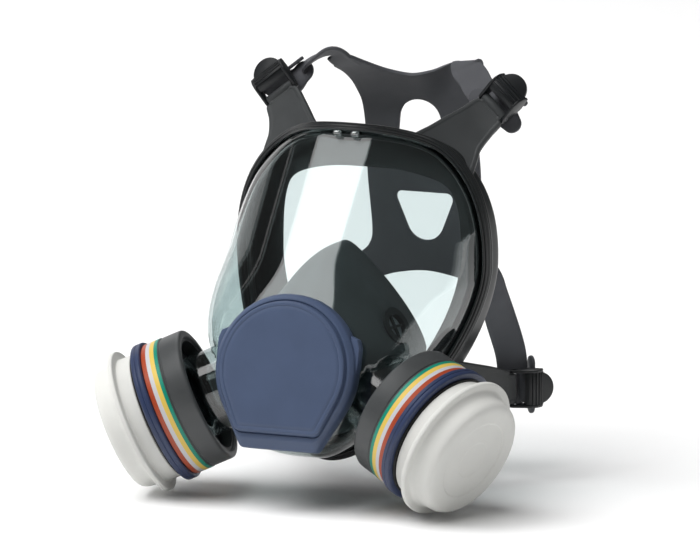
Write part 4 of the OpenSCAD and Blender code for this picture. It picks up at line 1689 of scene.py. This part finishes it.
@dataclass
class Buckle(Assembly):
    """One buckle with its ribbed plate and thumb tab, and the strap's end on its bar, in mm and degrees."""

    level: Level
    side: Side
    bar_x: float = 11.0
    bar_r: float = 2.6
    cheek: float = 1.8
    cheek_y: float = 10.2
    cheek_r: float = 8.1
    cheek_back: float = 6.6
    cheek_soft: float = 0.45
    crest: tuple[float, ...] = (15, 45, 75, 105, 137)
    heel_r: float = 3.3
    eye_r: float = 3.6
    plate_in: float = 5.6
    plate_out: float = 7.4
    plate_start: float = 15.0
    plate_span: float = 122.0
    plate_over: float = 0.3
    rib: float = 0.8
    ribs: int = 5
    ribbed_share: float = 0.75
    thumb_x: float = 14.8
    thumb_r: float = 10.4
    thumb_span: float = 168.0
    thumb_low: float = 1.6
    thumb_high: float = 3.8
    loop_in: float = 2.9
    loop_out: float = 4.9
    loop_leg: float = 6.6
    loop_width: float = 19.0
    tail_high: float = 8.7
    tail_low: float = 10.9
    tail_soft: float = 0.7
    cross_x: float = -9.5
    cross_y: float = 13.5
    cross_r: float = 5.0
    cross_low: float = 14.0
    cross_high: float = 16.2
    stop_r: float = 3.4
    stop_thickness: float = 2.2
    stop_at: Point = (15.4, 0, -8)
    stop_out: Point = (0.863, 0, 0.506)

    def arc(self, radius: float, angles: Sequence[float]) -> list[Pair]:
        """Points on an arc about the bar.

        Args:
            radius: Radius of the arc.
            angles: Angle of each point.

        Returns:
            The points.
        """
        turn = [math.radians(angle) for angle in angles]
        return [(self.bar_x + radius * math.cos(t), radius * math.sin(t)) for t in turn]

    def upright(self, mesh: bmesh.types.BMesh) -> bmesh.types.BMesh:
        """Turns an outline drawn in X and Y so that its Y is out of the face and its height along the pin."""
        return moved(mesh, Matrix(((1, 0, 0, 0), (0, 0, -1, 0), (0, 1, 0, 0), (0, 0, 0, 1))))

    def cheeks(self) -> list[bmesh.types.BMesh]:
        """Two side plates round the pin and the bar.

        Returns:
            The meshes.
        """
        edge = self.cheek_r - self.cheek_back
        crest = [(*p, edge) for p in self.arc(self.cheek_back, self.crest)]
        outline = hull_outline([(0, 0, self.eye_r), (self.bar_x, 0, self.heel_r), *crest], 56)
        low, high = self.cheek_y, self.cheek_y + self.cheek
        return [self.upright(slab(outline, *span, self.cheek_soft)) for span in ((low, high), (-high, -low))]

    def ribbed_plate(self) -> bmesh.types.BMesh:
        """Curved plate over the strap with ribs across it.

        Returns:
            The mesh.
        """
        steps = 120
        outer = []
        for k in range(steps + 1):
            angle = math.radians(self.plate_start + self.plate_span * k / steps)
            wave = max(0.0, math.cos(2 * math.pi * (self.ribs * k / steps / self.ribbed_share - 0.5))) ** 0.6
            radius = self.plate_out + (self.rib * wave if k < steps * self.ribbed_share else 0.0)
            outer.append((self.bar_x + radius * math.cos(angle), radius * math.sin(angle)))
        back = [self.plate_start + self.plate_span * k / 40 for k in range(40, -1, -1)]
        inner = self.arc(self.plate_in, back)
        half = self.cheek_y + self.plate_over
        return self.upright(slab(outer + inner, -half, half, 0.15))

    def thumb(self) -> bmesh.types.BMesh:
        """Half-round tab that the thumb lifts.

        Returns:
            The mesh.
        """
        x, side = self.thumb_x, self.cheek_y + 0.5
        root = [(x - 0.6, side), (x - 0.6, -side), (x + 1.2, -side)]
        turn = [math.radians(self.thumb_span * k / 40 - self.thumb_span / 2) for k in range(41)]
        curve = [(x + self.thumb_r * math.cos(t), self.thumb_r * math.sin(t)) for t in turn]
        return slab([*root, *curve, (x + 1.2, side)], self.thumb_low, self.thumb_high, 0.7)

    def bar(self) -> bmesh.types.BMesh:
        """Round bar that the strap goes round."""
        matrix = Matrix.Translation((self.bar_x, 0, 0)) @ Matrix.Rotation(math.pi / 2, 4, "X")
        return moved(rod(self.bar_r, 2 * self.cheek_y + 1, 32), matrix)

    def loop(self) -> bmesh.types.BMesh:
        """End of the strap bent round the bar.

        Returns:
            The mesh.
        """
        turn = [180 * k / 32 for k in range(33)]
        outer = self.arc(self.loop_out, turn)
        inner = self.arc(self.loop_in, turn[::-1])
        low = -self.tail_high - 1 if self.level is Level.UPPER else -self.loop_leg
        legs = [(self.bar_x - self.loop_out, low), (self.bar_x - self.loop_in, low)]
        ends = [(self.bar_x + self.loop_in, -self.loop_leg), (self.bar_x + self.loop_out, -self.loop_leg)]
        half = self.loop_width / 2
        return self.upright(slab([*outer, *legs, *inner, *ends], -half, half, 0.4))

    def tail(self) -> bmesh.types.BMesh:
        """Broad end of the strap, which keeps it from slipping out of the buckle.

        Returns:
            The mesh.
        """
        if self.level is Level.UPPER:
            lobes = [(-3.5, 15.9, 6.3), (1.2, -12.6, 6.0)]
            if self.side is Side.LEFT:
                lobes = [(7.8, 17.2, 7.0), (0.0, -8.4, 6.0)]
            outline = hull_outline([*lobes, (4, 5, 5), (4, -7, 5)])
            return slab(outline, -self.tail_low, -self.tail_high, self.tail_soft)
        ends = [(self.cross_x, y, self.cross_r) for y in (self.cross_y, -self.cross_y)]
        mesh = slab(hull_outline(ends), self.cross_low, self.cross_high, self.tail_soft)
        return moved(mesh, Matrix(((0, 0, 1, 0), (0, 1, 0, 0), (1, 0, 0, 0), (0, 0, 0, 1))))

    def stop_bar(self) -> bmesh.types.BMesh:
        """Thin cross bar on the strap behind an upper buckle, edge on to the front.

        Returns:
            The mesh.
        """
        low, high = (-3.0, 18.6) if self.side is Side.LEFT else (-7.0, 9.4)
        half = self.stop_thickness / 2
        mesh = slab(hull_outline([(0, low, self.stop_r), (0, high, self.stop_r)]), -half, half, 0.6)
        out = Vector(self.stop_out)
        turn = Matrix((Vector((-out.z, 0, out.x)), (0, 1, 0), out)).transposed().to_4x4()
        return moved(mesh, Matrix.Translation(self.stop_at) @ turn)

    def build(self) -> None:
        """Makes the buckle and the strap's loop."""
        name = f"{self.level.value}_{self.side.word}"
        body = f"buckle_{name}_body"
        parts = [*self.cheeks(), self.ribbed_plate(), self.thumb(), self.bar()]
        ends = [self.loop(), self.tail()]
        if self.level is Level.UPPER:
            ends.append(self.stop_bar())
        for mesh, title, finish, slot, node in (
            (joined(parts), "buckle_skin", BUCKLE_FINISH, Slot.BUCKLE, "buckle"),
            (joined(ends), "loop_skin", HARNESS_FINISH, Slot.HARNESS, "strap_loop"),
        ):
            moved(mesh, buckle_frame(self.level).matrix)
            bmesh.ops.recalc_face_normals(mesh, faces=mesh.faces[:])
            self.add(f"{title}_{name}", turned(mesh, self.side), finish, slot, body, [f"{node}_{name}"])


@dataclass
class Harness(Assembly):
    """Rubber plate behind the head and the four straps that run from it to the buckles, in mm."""

    thickness: float = 2.2
    width: float = 20.0
    cell: float = 1.9
    edge_soft: float = 0.6
    back_y: float = 91.0
    arch: float = 3.0
    arch_middle: float = -11.0
    arch_half: float = 60.0
    crown_start: float = 95.0
    crown_height: float = 24.0
    crown_lean: float = 12.0
    crown_zone: Pair = (0.0, 26.0)
    wrap: float = 0.003
    wrap_zone: Pair = (60.0, 110.0)

    def plate_y(self, x: float, z: float) -> float:
        """Depth of the plate behind the head; its left top corner leans over the head.

        Args:
            x: Distance from the middle line.
            z: Height.

        Returns:
            Y there.
        """
        rise = max(0.0, z - self.crown_start) / self.crown_height
        crown = self.crown_lean * rise**2 * (1 - smoothstep(*self.crown_zone, x))
        arch = self.arch * ((z - self.arch_middle) / self.arch_half) ** 2
        return self.back_y - arch - crown - self.wrap * smoothstep(*self.wrap_zone, z) * x * x

    @staticmethod
    def outlines() -> list[list[Vector]]:
        """Outline of the plate and of its two openings.

        Returns:
            The outlines, as X and Z.
        """
        flank = [[38.4, 98], [38, 84], [39, 50], [36.8, 14], [38.8, 4], [43.4, -1.2], [48.9, -5.4]]
        arch = [[35.1, -20.6], [28.6, -16.6], [17, -13.4], [0, -11.4]]
        top = [[-31.5, 131], [-25, 126.4], [-14.4, 121.2], [0, 118.6], [13, 121], [21, 124.6], [28.4, 127.9]]
        right = [[48, 127.2], [46.8, 119.5], [43.4, 111], [39.8, 103.5], *flank]
        left = [[47.6, 124], [43.4, 119.2], [41, 113], [39.9, 107], *flank]
        runs = [top, right, arch + [[-x, z] for x, z in arch[-2::-1]], [[-x, z] for x, z in reversed(left)]]
        whole = [p for run in runs for p in smooth_line(run, 8)]
        crown = hull_outline([(0, 74, 16.5), (0, 86.5, 14.5)])
        nape = hull_outline([(-15.5, 35.5, 4.2), (15.5, 35.5, 4.2), (0, 21.4, 13.2)])
        return [[Vector(p) for p in whole], crown, nape]

    def build(self) -> None:
        """Makes the plate and its straps."""
        self.build_plate()
        for side in Side:
            self.build_strap(Level.UPPER, side)
            self.build_strap(Level.LOWER, side)

    def flat_plate(self) -> bmesh.types.BMesh:
        """Plate laid flat, from a fine grid that is cut and drawn to its outlines.

        Returns:
            The mesh, with the plate's height as its Y.
        """
        whole, *openings = self.outlines()
        left, low = min(p.x for p in whole), min(p.y for p in whole)
        wide, high = max(p.x for p in whole) - left, max(p.y for p in whole) - low
        across, tall = round(wide / self.cell), round(high / self.cell)
        mesh = weave(
            across, tall, lambda i, j: Vector((left + wide * i / across, low + high * j / tall, 0)))

        def kept(face: bmesh.types.BMFace) -> bool:
            """Whether a cell belongs to the plate."""
            spot = face.calc_center_median().to_2d()
            return inside(spot, whole) and not any(inside(spot, o) for o in openings)

        bmesh.ops.delete(mesh, geom=[f for f in mesh.faces if not kept(f)], context="FACES")
        for vert in mesh.verts:
            if vert.is_boundary:
                spot = min(
                    (nearest(vert.co.to_2d(), o) for o in (whole, *openings)),
                    key=lambda p: (p - vert.co.to_2d()).length)
                vert.co = spot.to_3d()
        inner = [v for v in mesh.verts if not v.is_boundary]
        for _ in range(4):
            relax(mesh, inner, 0.5)
        return mesh

    def build_plate(self) -> None:
        """Makes the plate, bent behind the head and given its thickness."""
        mesh = self.flat_plate()
        for vert in mesh.verts:
            x, z, _ = vert.co
            vert.co = Vector((x, self.plate_y(x, z), z))
        bmesh.ops.recalc_face_normals(mesh, faces=mesh.faces[:])
        plate = self.add("harness_plate", mesh, HARNESS_FINISH, Slot.HARNESS, "mask", ["head_harness"])
        wall = plate.modifiers.new("wall", "SOLIDIFY")
        wall.thickness = self.thickness * MM
        wall.offset = 0
        soft = plate.modifiers.new("soft", "BEVEL")
        soft.width = self.edge_soft * MM
        soft.segments = 2
        soft.limit_method = "ANGLE"
        soft.angle_limit = math.radians(50)

    def lower_stops(self) -> list[Stop]:
        """Route of a right-hand lower strap from the plate to its buckle.

        Returns:
            Places on the route.
        """
        t, w = self.thickness, self.width
        root, turn = (0.67, 0, 0.74), (0.72, 0.69, 0)
        return [
            Stop((35.5, self.plate_y(35.5, -7), -7.1), root, 19.6, t + 0.2),
            Stop((42, 90.8, -13), root, 20.8, t + 0.5),
            Stop((47.8, 86, -18), (0.68, 0.12, 0.72), w, t),
            Stop((54.5, 75, -23.8), (0.69, 0.27, 0.6), w, t),
            Stop((64, 62, -33), (0.7, 0.4, 0.45), w, t),
            Stop((77, 48, -52), (0.72, 0.6, 0.2), w, t),
            Stop((79.9, 44.7, -70), turn, w, t),
            Stop((79.9, 44.7, -80), turn, w, t),
            Stop((79.9, 44.7, -84), turn, 12, t)]

    def upper_stops(self, side: Side) -> list[Stop]:
        """Route of an upper strap as if on the right; the soft straps lie unevenly on the two sides.

        Args:
            side: Side of the strap.

        Returns:
            Places on the route.
        """
        t, w = self.thickness, self.width
        place, across = UPPER_FRAME.matrix, tuple(UPPER_FRAME.reach)
        shift = 0.0 if side is Side.RIGHT else 5.0
        last = [
            Stop(tuple(place @ Vector((2.5 + shift, 5, -12.6))), across, w - 0.6 * shift, t),
            Stop(tuple(place @ Vector((1.8 + shift, -6, -12.2))), across, 15, t),
            Stop(tuple(place @ Vector((1.5 + shift, -9, -12.0))), across, 12, t)]
        if side is Side.RIGHT:
            root, slant = (0.988, -0.08, 0.13), (0.85, 0.34, 0.4)
            return [
                Stop((37.6, self.plate_y(37.6, 117.5), 117.5), root, 19, t + 0.2),
                Stop((38.2, self.plate_y(38.2, 126.2), 126.2), root, 19.8, t + 0.5),
                Stop((37.9, 69.7, 127.9), root, 20, t + 0.2),
                Stop((37.7, 67.6, 128.3), root, w, t),
                Stop((38, 65.5, 127), root, w, t),
                Stop((40.4, 63, 124.4), (0.96, 0.12, 0.2), w, t),
                Stop((47, 58, 120), slant, w, t),
                Stop((55, 50.5, 114.2), slant, w, t), *last]
        root = (0.85, 0.38, -0.37)
        return [
            Stop((36, self.plate_y(-36, 123.2), 123.2), root, 16.8, t + 0.2),
            Stop((39.7, 48, 127.9), root, 17.8, t + 0.5),
            Stop((43.6, 43.6, 132.2), (0.7, 0.6, -0.4), 19.6, t),
            Stop((53.3, 45, 129.3), (0.42, 0.89, -0.17), w, t),
            Stop((65.1, 50, 122.3), (0.3, 0.93, 0.2), 18.4, t),
            Stop(tuple(place @ Vector((9.5, 12, -13.4))), across, 15, t), *last]

    @staticmethod
    def bend_span(level: Level, side: Side) -> tuple[int, int]:
        """Two stops on a strap's route.

        Args:
            level: Level of the strap.
            side: Side of the strap.

        Returns:
            Numbers of the two stops.
        """
        if level is Level.LOWER:
            return 4, 6
        return (4, -3) if side is Side.RIGHT else (2, -3)

    def build_strap(self, level: Level, side: Side) -> None:
        """Makes one strap, whose route runs from the plate to its buckle.

        Args:
            level: Level of the strap.
            side: Side of the strap.
        """
        stops = self.lower_stops() if level is Level.LOWER else self.upper_stops(side)
        mesh = turned(sweep(stops, 10, 0.85, 0.12), side)
        name = f"{level.value}_{side.word}"
        strap = self.add(f"strap_{name}", mesh, HARNESS_FINISH, Slot.HARNESS, None)
        start, end = (mirrored(Vector(stops[i].at), side) * MM for i in self.bend_span(level, side))
        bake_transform(strap)


@dataclass(frozen=True)
class Softbox:
    """One soft light that faces the object.

    Attributes:
        name: Name of the light.
        at: Where it stands, in metres.
        across: Direction of its width.
        width: Width in metres.
        height: Height in metres.
        power: Power in watts.
        mirrored: Whether gloss shows it.
    """

    name: str
    at: Point
    across: Point
    width: float
    height: float
    power: float
    mirrored: bool = True

    def light(self) -> None:
        """Puts the light in the scene."""
        data = bpy.data.lights.new(self.name, "AREA")
        data.shape = "RECTANGLE"
        data.size, data.size_y, data.energy = self.width, self.height, self.power
        lamp = linked(self.name, data)
        z = Vector(self.at).normalized()
        x = square_to(Vector(self.across), z)
        lamp.visible_camera = False
        lamp.visible_glossy = self.mirrored
        lamp.matrix_world = Matrix.Translation(self.at) @ Matrix((x, z.cross(x), z)).transposed().to_4x4()


SOFTBOXES = (
    Softbox("key", (-0.646, -0.557, 1.347), (-0.89, 0.36, -0.28), 0.66, 1.25, 7.0),
    Softbox("crown", (-0.8, 1.28, 1.3), (0.85, 0.53, 0), 1.2, 0.8, 4.5),
    Softbox("strip", (-1.24, -0.2, 0.94), (-0.44, 0.63, -0.49), 0.045, 0.5, 0.06),
    Softbox("left", (-1.6, -0.35, 0.6), (0, 1, 0), 0.6, 1.0, 6.5, False),
    Softbox("right", (1.3, -0.5, 0.55), (0, 1, 0), 0.6, 1.0, 1.3, False),
    Softbox("back_left", (-2.2, 1.5, 0.4), (0.6, 0.8, 0), 2.8, 1.8, 11.5),
    Softbox("back_right", (2.2, 1.3, -0.05), (-0.5, 0.85, 0), 2.8, 0.6, 3.5),
)


@dataclass
class Studio:
    """Pale floor, soft light and the camera at the photograph's angle, in metres and degrees."""

    floor_z: float = -0.128
    floor_size: float = 60.0
    azimuth: float = 24.0
    elevation: float = 10.0
    distance: float = 6.0
    pixels_per_mm: float = 1.59
    picture_width: int = 700
    sensor_width: float = 36.0
    far: float = 200.0
    shift_right: float = -0.0115
    shift_up: float = -0.0031
    world: float = 0.08
    sky: float = 2.8
    sky_spread: float = 60.0
    sky_turn: Point = (20.0, -15.0, 0.0)

    def build(self) -> None:
        """Sets up the floor, the lights and the camera."""
        self.floor()
        for box in SOFTBOXES:
            box.light()
        self.daylight()
        self.camera()
        bpy.context.scene.view_settings.view_transform = "Standard"

    def floor(self) -> None:
        """Makes the floor."""
        mesh = bmesh.new()
        bmesh.ops.create_grid(mesh, x_segments=1, y_segments=1, size=self.floor_size / 2)
        bmesh.ops.translate(mesh, verts=mesh.verts[:], vec=(0, 0, self.floor_z))
        data = bpy.data.meshes.new("floor")
        mesh.to_mesh(data)
        mesh.free()
        data.materials.append(FLOOR_FINISH.material())
        floor = linked("floor", data)

    def daylight(self) -> None:
        """Puts broad light from above and an even white world round the object."""
        data = bpy.data.lights.new("sky", "SUN")
        data.energy, data.angle = self.sky, math.radians(self.sky_spread)
        sky = linked("sky", data)
        sky.rotation_euler = tuple(math.radians(angle) for angle in self.sky_turn)
        sky.visible_glossy = False
        world = bpy.data.worlds.new("studio")
        bpy.context.scene.world = world
        world.use_nodes = True
        background = world.node_tree.nodes["Background"]
        background.inputs["Color"].default_value = (1, 1, 1, 1)
        background.inputs["Strength"].default_value = self.world

    def camera(self) -> None:
        """Puts the camera at the photograph's angle."""
        a, e = math.radians(self.azimuth), math.radians(self.elevation)
        back = Vector((math.sin(a) * math.cos(e), -math.cos(a) * math.cos(e), math.sin(e)))
        right = Vector((math.cos(a), math.sin(a), 0))
        up = back.cross(right)
        target = right * self.shift_right + up * self.shift_up
        data = bpy.data.cameras.new("camera")
        data.sensor_width = self.sensor_width
        data.lens = self.pixels_per_mm / MM * self.distance * data.sensor_width / self.picture_width
        data.clip_end = self.far
        camera = linked("camera", data)
        turn = Matrix((right, up, back)).transposed().to_4x4()
        camera.matrix_world = Matrix.Translation(target + back * self.distance) @ turn
        bpy.context.scene.camera = camera


def main() -> None:
    """Builds every sub-assembly in order, then the studio."""
    logging.basicConfig(level=logging.INFO, format="%(name)s: %(message)s")
    form = Form()
    assemblies: list[Assembly] = [
        Visor(form), FaceBlank(form), NoseCup(form), ExhalationValve(form),
        *(FilterUnit(side) for side in Side), Harness(),
        *(Buckle(level, side) for level in Level for side in Side)]
    for assembly in assemblies:
        assembly.build()
        assembly.dress()
        log.info("built %s", type(assembly).__name__)
    Studio().build()


if __name__ == "__main__":
    main()
